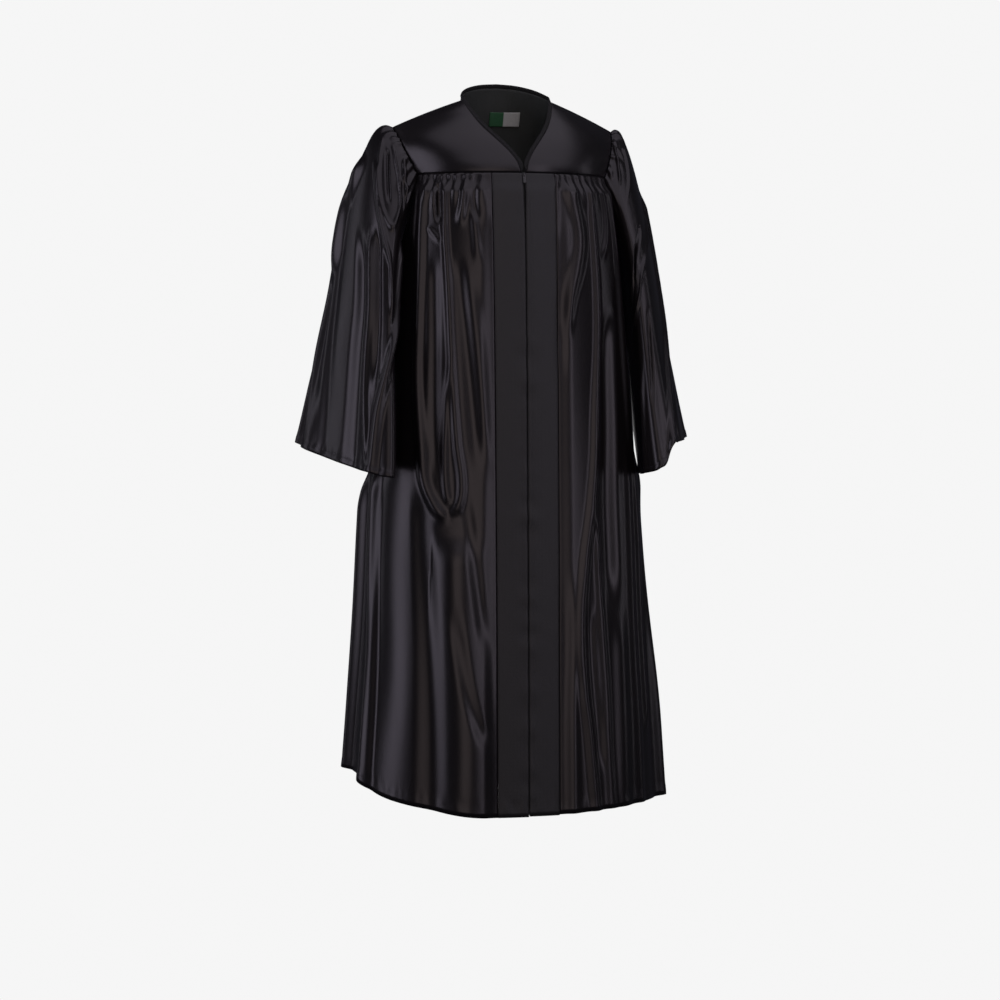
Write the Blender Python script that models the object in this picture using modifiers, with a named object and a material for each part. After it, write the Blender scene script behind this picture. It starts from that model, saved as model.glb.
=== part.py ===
# A graduation gown, worn with no wearer showing: satin cloth gathered onto a plain yoke,
# bell sleeves, a closed zip down the front between two flat bands, and a label in the neck.
# Metres, +Z up. The front faces -Y and the wearer's left side is +X.
# The origin is midway between the two side neck points, where the wearer's shoulders hold it.
# A place on the body is given by its height and by its angle round from the centre front,
# in degrees, growing towards +X. The centre back is 180.

from collections import namedtuple
from math import cos, radians, sin

import bmesh
import bpy
import numpy as np
from mathutils import Matrix, Vector

# Driving sizes
CLOTH = 0.00125
SEAM_GAP = 0.00035
# How far each panel stops short of the side seam, in degrees
SIDE_SEAM_SHORT = 0.10
YOKE_SEAM_FRONT = -0.1360
YOKE_SEAM_BACK = -0.1300
UNDERARM = -0.2950
BAND_WIDTH = 0.0570
SLIT_HALF_TOP = 0.0019
SLIT_HALF = 0.0006
SLIT_OPEN_TO = -0.2300
ARMHOLE_FRONT = 67.0
ARMHOLE_BACK = 116.0
BINDING_HEIGHT = 0.0065
BINDING_THICK = 0.0030
TOP_STITCH = 0.0035
FRONT_FULLNESS = 0.0070

LABEL_WIDTH = 0.0550
LABEL_HEIGHT = 0.0250
LABEL_THICK = 0.0007
LABEL_ACROSS = 0.0190
LABEL_TOP = -0.0135
LABEL_INSIDE = 0.0037

ZIP_ABOVE_HEM = 0.0030
ZIP_TAPE_HALF = 0.0110
ZIP_TAPE_THICK = 0.0008
ZIP_TAPE_BEHIND = 0.0048
ZIP_CHAIN_HALF = 0.0026
ZIP_CHAIN_THICK = 0.0016
ZIP_CHAIN_BEHIND = 0.00225
SLIDER_HALF = 0.0033
SLIDER_LENGTH = 0.0090
SLIDER_THICK = 0.0026
SLIDER_BEHIND = 0.00175
BRIDGE_HALF = 0.0009
BRIDGE_HALF_HEIGHT = 0.0030
BRIDGE_REACH = 0.0036
BRIDGE_BAR = 0.0009
PULL_HALF = 0.0024
PULL_LENGTH = 0.0150
PULL_THICK = 0.0009
PULL_EYE = 0.0034
PULL_RIM = 0.0009

# Colours, as linear light
SATIN = (0.0135, 0.0122, 0.0142)
MATT_BAND = (0.0165, 0.0165, 0.0160)
BINDING = (0.0190, 0.0190, 0.0195)
ZIP_BLACK = (0.0100, 0.0100, 0.0105)
LABEL_WHITE = (0.6500, 0.6600, 0.6300)
STEEL = (0.2000, 0.2000, 0.2000)

# The garment's plain form, one row for each height, before any folds
Section = namedtuple("Section", "height half_width front back middle boxiness")
BODY = [
    Section(-0.100, 0.180, -0.108, 0.108, 0.020, 0.000),
    Section(-0.136, 0.188, -0.118, 0.117, 0.020, 0.000),
    Section(-0.220, 0.202, -0.129, 0.132, 0.020, 0.008),
    Section(-0.300, 0.212, -0.135, 0.141, 0.020, 0.015),
    Section(-0.450, 0.229, -0.142, 0.152, 0.022, 0.022),
    Section(-0.650, 0.244, -0.149, 0.168, 0.024, 0.030),
    Section(-0.950, 0.259, -0.156, 0.190, 0.026, 0.030),
    Section(-1.280, 0.284, -0.160, 0.214, 0.030, 0.025),
]

# The hem's height round the body
Hem = namedtuple("Hem", "angle height")
HEM = [
    Hem(-180, -1.258),
    Hem(-150, -1.238),
    Hem(-118, -1.196),
    Hem(-92, -1.199),
    Hem(-78, -1.204),
    Hem(-64, -1.227),
    Hem(-40, -1.250),
    Hem(-16, -1.267),
    Hem(0, -1.268),
    Hem(16, -1.265),
    Hem(45, -1.257),
    Hem(75, -1.254),
    Hem(95, -1.251),
    Hem(120, -1.250),
    Hem(150, -1.262),
    Hem(180, -1.258),
]

# Half of the neckline, from the foot of the V over the side neck point to the nape
NeckPoint = namedtuple("NeckPoint", "x y z")
NECKLINE = [
    NeckPoint(0.0035, -0.1175, -0.1350),
    NeckPoint(0.0075, -0.1140, -0.1200),
    NeckPoint(0.0180, -0.1035, -0.1010),
    NeckPoint(0.0360, -0.0865, -0.0780),
    NeckPoint(0.0575, -0.0610, -0.0520),
    NeckPoint(0.0740, -0.0300, -0.0240),
    NeckPoint(0.0815, 0.0000, 0.0000),
    NeckPoint(0.0765, 0.0290, 0.0100),
    NeckPoint(0.0605, 0.0525, 0.0200),
    NeckPoint(0.0330, 0.0680, 0.0275),
    NeckPoint(0.0000, 0.0730, 0.0300),
]
NECK_SIDE = 6
SHOULDER_TIP = (0.2035, 0.0280, -0.0490)
SHOULDER_BOW = (0.0000, 0.0000, 0.0020)
ARMHOLE_FRONT_BOW = (0.0030, -0.0100, 0.0030)
ARMHOLE_BACK_BOW = (0.0030, 0.0130, 0.0040)
YOKE_BULGE = 0.0050
# How near the yokes come to the shoulder seam, as a share of their height
SHOULDER_EDGE = 0.9905
# The share of the back yoke's top edge that is neckline, and not shoulder seam
NECK_PART = 0.42
# How far below the seams the panels' columns are spread evenly again
SPREAD_DEPTH = 0.30

# Folds of the body. Each runs down a path of angles and heights, and its crest stands out
# by its lift, or sinks in where that is below 0
Fold = namedtuple("Fold", "angles heights width_top width_foot lift fade_top fade_foot")
SEAM = -0.140
RIGHT_FRONT_FOLDS = [
    Fold(
        (-55, -56, -54, -52, -50, -46, -44, -40, -35, -32),
        (SEAM, -0.20, -0.288, -0.394, -0.50, -0.614, -0.674, -0.714, -0.738, -0.74),
        0.014, 0.014, 0.0065, 0.02, 0.02,
    ),
    Fold(
        (-44, -41, -37, -34, -32, -30, -28, -28, -32),
        (SEAM, -0.236, -0.342, -0.448, -0.534, -0.614, -0.666, -0.71, -0.74),
        0.009, 0.011, 0.0050, 0.02, 0.02,
    ),
    Fold(
        (-34, -35, -35, -35, -34, -32),
        (-0.452, -0.518, -0.578, -0.64, -0.692, -0.724),
        0.007, 0.009, 0.0030, 0.06, 0.02,
    ),
    Fold((-48, -46, -44), (-0.152, -0.192, -0.23), 0.009, 0.009, -0.0070, 0.01, 0.02),
    Fold((-46, -42, -40, -38), (-0.272, -0.43, -0.588, -0.684), 0.014, 0.014, -0.0035, 0.06, 0.06),
    Fold((-52, -47, -41), (-0.23, -0.244, -0.264), 0.007, 0.007, 0.0030, 0.01, 0.02),
    Fold((-32, -32, -34), (SEAM, -0.188, -0.236), 0.009, 0.011, 0.0040, 0.02, 0.03),
    Fold((-22, -20, -18), (SEAM, -0.188, -0.24), 0.009, 0.013, 0.0030, 0.02, 0.04),
    Fold((-27, -25, -23), (-0.194, -0.246, -0.304), 0.007, 0.011, 0.0025, 0.03, 0.04),
    Fold((-28, -26, -24), (SEAM, -0.192, -0.23), 0.007, 0.009, -0.0030, 0.01, 0.03),
    Fold((-66, -63, -61), (-0.146, -0.208, -0.28), 0.011, 0.014, 0.0050, 0.02, 0.05),
    Fold(
        (-34, -29, -25, -22, -19),
        (-0.272, -0.378, -0.50, -0.604, -0.692),
        0.014, 0.020, -0.0035, 0.06, 0.10,
    ),
    Fold((-29, -23, -19, -17), (-0.298, -0.43, -0.57, -0.674), 0.016, 0.020, 0.0030, 0.08, 0.10),
    Fold(
        (-27, -24, -21, -18, -16),
        (-0.674, -0.762, -0.858, -0.944, -0.98),
        0.013, 0.014, -0.0025, 0.08, 0.06,
    ),
    Fold(
        (-30, -27, -23, -18, -14),
        (-0.884, -0.97, -1.058, -1.124, -1.146),
        0.014, 0.014, -0.0030, 0.08, 0.04,
    ),
    Fold(
        (-30, -29, -26, -24, -23),
        (-0.762, -0.884, -1.022, -1.144, -1.30),
        0.049, 0.056, 0.0130, 0.06, 0.00,
    ),
    Fold(
        (-45, -43, -40, -38, -36),
        (-0.672, -0.814, -0.954, -1.092, -1.30),
        0.023, 0.032, -0.0040, 0.08, 0.00,
    ),
    Fold(
        (-71, -71, -71, -69, -68),
        (-0.676, -0.818, -0.96, -1.10, -1.214),
        0.009, 0.011, 0.0015, 0.06, 0.00,
    ),
    Fold((-78, -77, -74, -72), (-0.58, -0.80, -1.02, -1.30), 0.026, 0.034, 0.0140, 0.12, 0.00),
]
LEFT_FRONT_FOLDS = [
    Fold(
        (38, 38, 37, 35, 32, 30, 27, 24, 22, 22, 24, 26),
        (SEAM, -0.216, -0.322, -0.43, -0.536, -0.642, -0.738, -0.818, -0.922, -1.046, -1.134, -1.30),
        0.011, 0.013, 0.0060, 0.02, 0.00,
    ),
    Fold(
        (29, 30, 31, 32, 32, 33),
        (-0.704, -0.80, -0.924, -1.048, -1.154, -1.30),
        0.009, 0.013, 0.0040, 0.06, 0.00,
    ),
    Fold(
        (25, 28, 29, 26, 20, 17),
        (SEAM, -0.20, -0.252, -0.302, -0.368, -0.438),
        0.018, 0.016, 0.0060, 0.02, 0.06,
    ),
    Fold((16, 16, 14), (SEAM, -0.204, -0.264), 0.009, 0.011, 0.0035, 0.02, 0.03),
    Fold((50, 51, 48, 41), (-0.142, -0.20, -0.25, -0.294), 0.009, 0.011, 0.0040, 0.02, 0.03),
    Fold(
        (60, 60, 58, 55, 54, 55, 57, 58, 58, 58),
        (-0.138, -0.202, -0.276, -0.392, -0.508, -0.626, -0.752, -0.894, -1.038, -1.146),
        0.013, 0.018, 0.0060, 0.02, 0.06,
    ),
    Fold(
        (44, 40, 38, 36, 36, 35),
        (-0.358, -0.464, -0.588, -0.712, -0.854, -0.924),
        0.023, 0.025, -0.0100, 0.08, 0.10,
    ),
    Fold((26, 26, 27, 28), (-0.888, -0.994, -1.10, -1.196), 0.011, 0.013, -0.0040, 0.05, 0.04),
    Fold((18, 16, 15), (-0.332, -0.412, -0.508), 0.013, 0.013, -0.0040, 0.05, 0.06),
    Fold((51, 50, 50, 50, 49), (-0.59, -0.75, -0.928, -1.09, -1.30), 0.014, 0.018, 0.0040, 0.10, 0.00),
    Fold((20, 19, 17, 17), (-0.816, -0.958, -1.098, -1.30), 0.014, 0.016, 0.0030, 0.10, 0.00),
    Fold((41, 40, 38), (-0.89, -1.068, -1.30), 0.022, 0.025, 0.0050, 0.10, 0.00),
    Fold((13, 14, 12), (-0.816, -1.026, -1.30), 0.018, 0.022, -0.0030, 0.12, 0.00),
    Fold((69, 71, 73), (-0.38, -0.54, -0.76), 0.020, 0.026, 0.0130, 0.14, 0.20),
    Fold((75, 77, 76, 75), (-0.64, -0.85, -1.05, -1.30), 0.024, 0.042, 0.0200, 0.50, 0.00),
]
BACK_FOLDS = [
    Fold((96, 96, 97), (-0.66, -0.90, -1.30), 0.022, 0.032, 0.012, 0.12, 0.00),
    Fold((112, 112, 110), (-0.50, -0.90, -1.30), 0.024, 0.034, -0.010, 0.16, 0.00),
    Fold((121, 123, 125, 124), (SEAM, -0.30, -0.70, -1.30), 0.011, 0.030, 0.013, 0.03, 0.00),
    Fold((129, 130, 131), (SEAM, -0.22, -0.40), 0.009, 0.014, 0.008, 0.02, 0.14),
    Fold((136, 137, 138, 140), (-0.17, -0.34, -0.80, -1.30), 0.012, 0.030, -0.010, 0.05, 0.00),
    Fold((137, 140, 144), (SEAM, -0.22, -0.34), 0.009, 0.014, 0.008, 0.02, 0.12),
    Fold((145, 147, 152, 154), (SEAM, -0.30, -0.72, -1.30), 0.010, 0.030, 0.014, 0.03, 0.00),
    Fold((153, 154, 153), (SEAM, -0.21, -0.36), 0.009, 0.014, 0.008, 0.02, 0.12),
    Fold((161, 163, 167, 168), (-0.17, -0.36, -0.80, -1.30), 0.012, 0.030, -0.011, 0.05, 0.00),
    Fold((162, 163, 166), (SEAM, -0.23, -0.40), 0.009, 0.015, 0.007, 0.02, 0.14),
    Fold((170, 173, 177, 180), (SEAM, -0.30, -0.75, -1.30), 0.010, 0.030, 0.014, 0.03, 0.00),
    Fold((179, 180, 181), (SEAM, -0.21, -0.36), 0.009, 0.014, 0.008, 0.02, 0.12),
    Fold((188, 189, 193, 194), (-0.17, -0.36, -0.80, -1.30), 0.012, 0.028, -0.010, 0.05, 0.00),
    Fold((187, 186, 183), (SEAM, -0.23, -0.38), 0.009, 0.015, 0.007, 0.02, 0.14),
    Fold((196, 198, 205, 207), (SEAM, -0.30, -0.72, -1.30), 0.010, 0.032, 0.014, 0.03, 0.00),
    Fold((205, 206, 207), (SEAM, -0.22, -0.36), 0.009, 0.014, 0.008, 0.02, 0.12),
    Fold((213, 213, 216, 219), (-0.17, -0.36, -0.80, -1.30), 0.012, 0.030, -0.011, 0.05, 0.00),
    Fold((214, 213, 211), (SEAM, -0.22, -0.34), 0.009, 0.014, 0.007, 0.02, 0.12),
    Fold((223, 225, 230, 232), (SEAM, -0.32, -0.74, -1.30), 0.010, 0.032, 0.013, 0.03, 0.00),
    Fold((232, 232, 231), (SEAM, -0.22, -0.38), 0.009, 0.014, 0.008, 0.02, 0.14),
    Fold((240, 241, 244), (SEAM, -0.24, -0.44), 0.010, 0.018, 0.009, 0.03, 0.16),
    Fold((244, 246, 247), (-0.50, -0.90, -1.30), 0.022, 0.032, -0.010, 0.16, 0.00),
    Fold((259, 260, 260), (-0.62, -0.90, -1.30), 0.026, 0.038, 0.018, 0.12, 0.00),
]

# The sleeve's girth and length, about, which its folds' widths are measured by
SLEEVE_ROUND = 0.62
SLEEVE_LENGTH = 0.60
# A sleeve of the +X side. Round its tube 0 is over the shoulder, 90 in front, 180 at the
# underarm and 270 behind; along it 0 is the armhole and 1 the cuff
CUFF_CENTRE = (0.2980, -0.0180)
CUFF_INWARDS = {-1: 0.0, 1: 0.0110}
CUFF_HALF_WIDTH = {-1: 0.0390, 1: 0.0422}
CUFF_HALF_DEPTH = 0.1540
CUFF_TURN = 18.5
# The cuff's height round each sleeve; the left one steps down where its front fold ends
CuffRow = namedtuple("CuffRow", "turn right left")
CUFF_ROWS = [
    CuffRow(0, -0.638, -0.607),
    CuffRow(45, -0.659, -0.611),
    CuffRow(62, -0.665, -0.615),
    CuffRow(72, -0.667, -0.643),
    CuffRow(90, -0.669, -0.656),
    CuffRow(120, -0.666, -0.664),
    CuffRow(150, -0.656, -0.668),
    CuffRow(180, -0.642, -0.663),
    CuffRow(225, -0.621, -0.640),
    CuffRow(270, -0.611, -0.612),
    CuffRow(315, -0.618, -0.603),
    CuffRow(360, -0.638, -0.607),
]
SLEEVE_OUT = {-1: 1.08, 1: 0.70}
SLEEVE_LEAVES = {
    "over": (0.2300, 0.0500, 0.1300),
    "front": (0.1900, -0.1500, -0.3000),
    "under": (0.0550, 0.0000, -0.2700),
    "back": (0.1700, 0.1500, -0.3000),
}
SLEEVE_ARRIVES = {
    "over": (0.0900, -0.1400, -0.5600),
    "front": (0.0450, -0.1200, -0.5000),
    "under": (0.0400, -0.0400, -0.3600),
    "back": (0.1400, -0.0300, -0.4600),
}
SleeveFold = namedtuple("SleeveFold", "turns along width_top width_foot lift fade_top fade_foot")
RIGHT_SLEEVE_FOLDS = [
    SleeveFold(
        (2, -5, -14, -19, -36, -38, -33, -29),
        (0.24, 0.33, 0.42, 0.50, 0.60, 0.72, 0.86, 1.05),
        0.023, 0.031, 0.0120, 0.05, 0.00,
    ),
    SleeveFold((23, 31, 30, 29, 27), (0.42, 0.59, 0.70, 0.82, 1.05), 0.018, 0.025, -0.0090, 0.06, 0.00),
    SleeveFold((36, 44, 42, 42, 49), (0.38, 0.56, 0.69, 0.81, 1.05), 0.009, 0.011, 0.0050, 0.05, 0.00),
    SleeveFold((47, 55, 55, 52), (0.35, 0.54, 0.67, 0.80), 0.014, 0.014, -0.0080, 0.04, 0.08),
    SleeveFold((23, 38, 56, 78, 87), (0.21, 0.29, 0.35, 0.41, 0.53), 0.013, 0.018, 0.0060, 0.02, 0.05),
    SleeveFold(
        (100, 108, 111, 111, 92, 69, 60, 52),
        (0.14, 0.22, 0.34, 0.44, 0.57, 0.75, 0.85, 1.05),
        0.016, 0.018, 0.0100, 0.06, 0.00,
    ),
    SleeveFold(
        (17, 28, 40, 54, 66, 70, 61, 44, 29),
        (0.11, 0.20, 0.27, 0.30, 0.28, 0.20, 0.14, 0.10, 0.07),
        0.007, 0.007, 0.0045, 0.02, 0.02,
    ),
    SleeveFold((29, 45, 55), (0.12, 0.20, 0.25), 0.007, 0.009, -0.0060, 0.01, 0.02),
    SleeveFold((46, 65, 89), (0.03, 0.10, 0.14), 0.009, 0.011, 0.0040, 0.02, 0.04),
    SleeveFold((350, 345, 342), (0.00, 0.35, 1.05), 0.010, 0.024, 0.007, 0.03, 0.00),
    SleeveFold((318, 308, 300), (0.04, 0.45, 1.05), 0.010, 0.026, 0.009, 0.04, 0.00),
    SleeveFold((280, 272, 268), (0.10, 0.50, 1.05), 0.012, 0.026, 0.008, 0.08, 0.00),
    SleeveFold((298, 290, 284), (0.20, 0.55, 1.05), 0.012, 0.022, -0.007, 0.10, 0.00),
]
LEFT_SLEEVE_FOLDS = [
    SleeveFold(
        (12, 12, 13, 18, 31, 47, 66),
        (0.35, 0.45, 0.54, 0.66, 0.74, 0.85, 1.05),
        0.014, 0.016, 0.0070, 0.04, 0.00,
    ),
    SleeveFold((3, 12, 34, 40), (0.70, 0.81, 0.92, 1.05), 0.011, 0.011, -0.0050, 0.06, 0.00),
    SleeveFold((45, 61, 94, 127), (0.38, 0.38, 0.36, 0.36), 0.011, 0.011, -0.0120, 0.01, 0.04),
    SleeveFold((11, 32, 60, 99, 132), (0.40, 0.45, 0.46, 0.45, 0.46), 0.009, 0.011, 0.0040, 0.04, 0.05),
    SleeveFold((64, 74, 90), (0.55, 0.65, 0.81), 0.013, 0.016, -0.0050, 0.05, 0.08),
    SleeveFold((102, 116, 131), (0.59, 0.74, 1.05), 0.014, 0.018, 0.0040, 0.08, 0.00),
    SleeveFold((23, 37, 61), (0.12, 0.20, 0.23), 0.007, 0.009, 0.0050, 0.01, 0.03),
    SleeveFold((23, 45, 60), (0.01, 0.08, 0.15), 0.007, 0.009, 0.0050, 0.01, 0.03),
    SleeveFold((352, 344, 340), (0.00, 0.40, 1.05), 0.010, 0.024, 0.007, 0.03, 0.00),
    SleeveFold((322, 312, 304), (0.04, 0.45, 1.05), 0.010, 0.026, 0.009, 0.04, 0.00),
    SleeveFold((284, 276, 270), (0.10, 0.50, 1.05), 0.012, 0.026, 0.008, 0.08, 0.00),
]

# How finely each piece is divided
FRONT_COLUMNS = 21
ARMHOLE_COLUMNS = 7
BACK_COLUMNS = 30
PANEL_ROWS = 18
YOKE_ROWS = 7
YOKE_COLUMNS = 10
BAND_COLUMNS = 4
SLEEVE_ROWS = 13
BINDING_COLUMNS = 18
ZIP_ROWS = 18

# Rows crowd towards the seam by these powers
ROW_CROWDING = 1.45
SLEEVE_CROWDING = 1.15


def smooth_step(value):
    """0 below 0, 1 above 1, and an S curve between."""
    value = np.clip(value, 0.0, 1.0)
    return value * value * (3.0 - 2.0 * value)


def through(keys, rows, at):
    """A smooth curve through rows of values, read at any key."""
    keys = np.asarray(keys, float)
    rows = np.asarray(rows, float)
    slopes = np.gradient(rows, keys, axis=0)
    at = np.clip(np.asarray(at, float), keys[0], keys[-1])
    left = np.clip(np.searchsorted(keys, at, side="right") - 1, 0, len(keys) - 2)
    span = keys[left + 1] - keys[left]
    s = (at - keys[left]) / span
    if rows.ndim == 2:
        s = s[..., None]
        span = span[..., None]
    start = (1 + 2 * s) * (1 - s) ** 2 * rows[left] + s * (1 - s) ** 2 * span * slopes[left]
    end = s * s * (3 - 2 * s) * rows[left + 1] - s * s * (1 - s) * span * slopes[left + 1]
    return start + end


def blended(first, second, share):
    """Between two values or points, by a share from 0 to 1."""
    return first + (second - first) * share


def section_at(height):
    """The plain form's half width, front, back, middle and boxiness at a height."""
    depths = [-row.height for row in BODY]
    rows = [row[1:] for row in BODY]
    return np.moveaxis(through(depths, rows, -np.asarray(height, float)), -1, 0)


def hem_height(angle):
    """The hem's height at an angle."""
    wrapped = (np.asarray(angle, float) + 180.0) % 360.0 - 180.0
    return through([row.angle for row in HEM], [row.height for row in HEM], wrapped)


def armhole_height(angle):
    """The height of the armhole's lower half at an angle between the two yoke corners."""
    in_front = angle < 90.0
    before = (90.0 - angle) / (90.0 - ARMHOLE_FRONT)
    behind = (angle - 90.0) / (ARMHOLE_BACK - 90.0)
    away = np.where(in_front, before, behind)
    corner = np.where(in_front, YOKE_SEAM_FRONT, YOKE_SEAM_BACK)
    return blended(corner, UNDERARM, np.sqrt(1.0 - np.clip(away, 0.0, 1.0) ** 2))


def fold_distance(across, height, fold_across, fold_height):
    """How far each point is from a fold's path, and how far along the path that is."""
    start = np.stack([fold_across[:-1], fold_height[:-1]], -1)
    step = np.stack([np.diff(fold_across), np.diff(fold_height)], -1)
    length = np.linalg.norm(step, axis=-1)
    before = np.concatenate([[0.0], np.cumsum(length)[:-1]])
    away = np.stack([across, height], -1)[:, None, :] - start[None]
    share = np.clip((away * step).sum(-1) / length**2, 0.0, 1.0)
    distance = np.linalg.norm(away - share[..., None] * step, axis=-1)
    nearest = distance.argmin(axis=1)
    rows = np.arange(len(nearest))
    along = (before + share * length)[rows, nearest]
    return distance[rows, nearest], along, length.sum()


def fold_lift(fold, across, height, fold_across, fold_height):
    """How far a fold moves each point outwards."""
    distance, along, total = fold_distance(across, height, fold_across, fold_height)
    width = blended(fold.width_top, fold.width_foot, along / total)
    crest = 0.5 + 0.5 * np.cos(np.pi * np.clip(distance / width, 0.0, 1.0))
    top = smooth_step(along / fold.fade_top) if fold.fade_top else 1.0
    foot = smooth_step((total - along) / fold.fade_foot) if fold.fade_foot else 1.0
    return fold.lift * crest * top * foot


def metres_per_degree(height):
    """The surface distance of one degree round the body, about."""
    half_width, front, back, middle, boxiness = section_at(height)
    return np.radians(0.5 * (half_width + 0.5 * (back - front)))


def body_lift(angle, height):
    """How far the folds of the body move each point outwards."""
    angle = np.where(angle < -95.0, angle + 360.0, angle)
    scale = metres_per_degree(height)
    lift = FRONT_FULLNESS * smooth_step((YOKE_SEAM_FRONT - TOP_STITCH - height) / 0.03)
    for turned in (angle, angle - 360.0, angle + 360.0):
        for fold in RIGHT_FRONT_FOLDS + LEFT_FRONT_FOLDS + BACK_FOLDS:
            reach = 12.0 + max(fold.angles) - min(fold.angles)
            near = np.abs(turned - 0.5 * (max(fold.angles) + min(fold.angles))) < reach
            if not near.any():
                continue
            steps = np.linspace(0.0, len(fold.angles) - 1.0, 6 * len(fold.angles))
            keys = range(len(fold.angles))
            path_angle = through(keys, fold.angles, steps)
            path_height = through(keys, fold.heights, steps)
            path_across = path_angle * metres_per_degree(path_height)
            lift[near] += fold_lift(
                fold, (turned * scale)[near], height[near], path_across, path_height
            )
    return lift * edge_share(angle, height)


def edge_share(angle, height):
    """Less lift beside the seams, on the bands, and under the sleeves where the body is pressed flat."""
    scale = metres_per_degree(height)
    seam = np.where(np.abs(angle) < 90.0, YOKE_SEAM_FRONT, YOKE_SEAM_BACK)
    folded = np.where(angle > 180.0, 360.0 - angle, np.abs(angle))
    beside = (folded > ARMHOLE_FRONT) & (folded < ARMHOLE_BACK)
    edge = np.where(beside, armhole_height(folded), seam)
    below = smooth_step((edge - TOP_STITCH - height) / 0.030)
    band = angle_at(BAND_WIDTH, height)
    off_band = 0.30 + 0.70 * smooth_step((folded - band) * scale / 0.022)
    under_arm = smooth_step((folded - 56.0) / 14.0) * smooth_step((130.0 - folded) / 14.0)
    pressed = under_arm * smooth_step((height + 0.70) / 0.08)
    return below * off_band * (1.0 - 0.85 * pressed)


def angle_at(across, height):
    """The angle of a point this far across from the centre front."""
    half_width = section_at(height)[0]
    return np.degrees(np.arcsin(np.clip(across / half_width, -1.0, 1.0)))


def plain_point(angle, height):
    """A point of the plain form."""
    half_width, front, back, middle, boxiness = section_at(height)
    turn = np.radians(angle)
    depth = np.where(np.cos(turn) > 0, middle - front, back - middle)
    reach = 1.0 - boxiness * np.cos(4.0 * turn)
    x = half_width * reach * np.sin(turn)
    y = middle - depth * reach * np.cos(turn)
    return np.stack([x, y, height + 0.0 * x], -1)


def outward(angle, height):
    """The level direction straight out of the plain form."""
    half_width, front, back, middle, boxiness = section_at(height)
    turn = np.radians(angle)
    depth = np.where(np.cos(turn) > 0, middle - front, back - middle)
    way = np.stack([np.sin(turn) / half_width, -np.cos(turn) / depth, 0.0 * turn], -1)
    return way / np.linalg.norm(way, axis=-1, keepdims=True)


def body_point(angle, height):
    """A point of the body's cloth with its folds."""
    angle, height = np.broadcast_arrays(np.asarray(angle, float), np.asarray(height, float))
    flat_angle = angle.ravel()
    flat_height = height.ravel()
    lift = body_lift(flat_angle, flat_height)[:, None]
    points = plain_point(flat_angle, flat_height) + lift * outward(flat_angle, flat_height)
    return points.reshape(angle.shape + (3,))


def row_share(share):
    """Rows lie closer together near the yoke seam, where the gathers are."""
    return share**ROW_CROWDING


def height_down(top, hem, v):
    """Heights from a seam to the hem: one short row for the seam's stitching, then the rest."""
    first = 1.0 / PANEL_ROWS
    stitched = np.clip(v / first, 0.0, 1.0)
    deep = row_share(np.clip((v - first) / (1.0 - first), 0.0, 1.0))
    return top - TOP_STITCH * stitched + (hem - top + TOP_STITCH) * deep


def front_place(side):
    """Puts a front panel's grid in place, from its band to its side seam."""

    def place(u, v):
        corner = FRONT_COLUMNS / (FRONT_COLUMNS + ARMHOLE_COLUMNS)
        on_yoke = np.clip(u / corner, 0.0, 1.0)
        past = np.clip((u - corner) / (1.0 - corner), 0.0, 1.0)
        top_angle = 90.0 - (90.0 - ARMHOLE_FRONT) * np.cos(0.5 * np.pi * past)
        even_angle = blended(ARMHOLE_FRONT, 90.0, past)
        top = np.where(past > 0, armhole_height(top_angle), YOKE_SEAM_FRONT) - SEAM_GAP
        low_angle = np.where(past > 0, even_angle, ARMHOLE_FRONT)
        hem = hem_height(side * blended(angle_at(BAND_WIDTH, HEM[8].height), low_angle, on_yoke))
        height = height_down(top, hem, v)
        band = angle_at(BAND_WIDTH + SEAM_GAP, height)
        spread = smooth_step((top - height) / SPREAD_DEPTH)
        outer = blended(top_angle, even_angle, spread)
        angle = np.where(past > 0, outer, blended(band, ARMHOLE_FRONT, on_yoke))
        angle = np.minimum(angle, 90.0 - SIDE_SEAM_SHORT)
        return body_point(side * angle, height)

    return place


def back_place(u, v):
    """Puts the back panel's grid in place, from one side seam to the other."""
    edge = ARMHOLE_COLUMNS / (BACK_COLUMNS + 2 * ARMHOLE_COLUMNS)
    half = np.minimum(u, 1.0 - u)
    past = np.clip((edge - half) / edge, 0.0, 1.0)
    on_yoke = np.clip((half - edge) / (0.5 - edge), 0.0, 1.0)
    top_angle = 90.0 + (ARMHOLE_BACK - 90.0) * np.cos(0.5 * np.pi * past)
    even_angle = blended(ARMHOLE_BACK, 90.0, past)
    top = np.where(past > 0, armhole_height(top_angle), YOKE_SEAM_BACK) - SEAM_GAP
    side_angle = np.where(past > 0, even_angle, blended(ARMHOLE_BACK, 180.0, on_yoke))
    hem = hem_height(np.where(u < 0.5, side_angle, -side_angle))
    height = height_down(top, hem, v)
    spread = smooth_step((top - height) / SPREAD_DEPTH)
    outer = blended(top_angle, even_angle, spread)
    angle = np.where(past > 0, outer, blended(ARMHOLE_BACK, 180.0, on_yoke))
    angle = np.maximum(angle, 90.0 + SIDE_SEAM_SHORT)
    return body_point(np.where(u < 0.5, angle, 360.0 - angle), height)


def slit_half(height):
    """Half of the gap between the two bands, which opens a little at the top of the zip."""
    return blended(SLIT_HALF, SLIT_HALF_TOP, smooth_step((height - SLIT_OPEN_TO) / 0.06))


def band_place(side):
    """Puts a band's grid in place, from the zip to the front panel."""

    def place(u, v):
        top = YOKE_SEAM_FRONT - SEAM_GAP
        hem = hem_height(side * angle_at(0.5 * BAND_WIDTH, HEM[8].height))
        height = height_down(top, hem, v)
        across = blended(slit_half(height), BAND_WIDTH, u)
        return body_point(side * angle_at(across, height), height)

    return place


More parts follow.
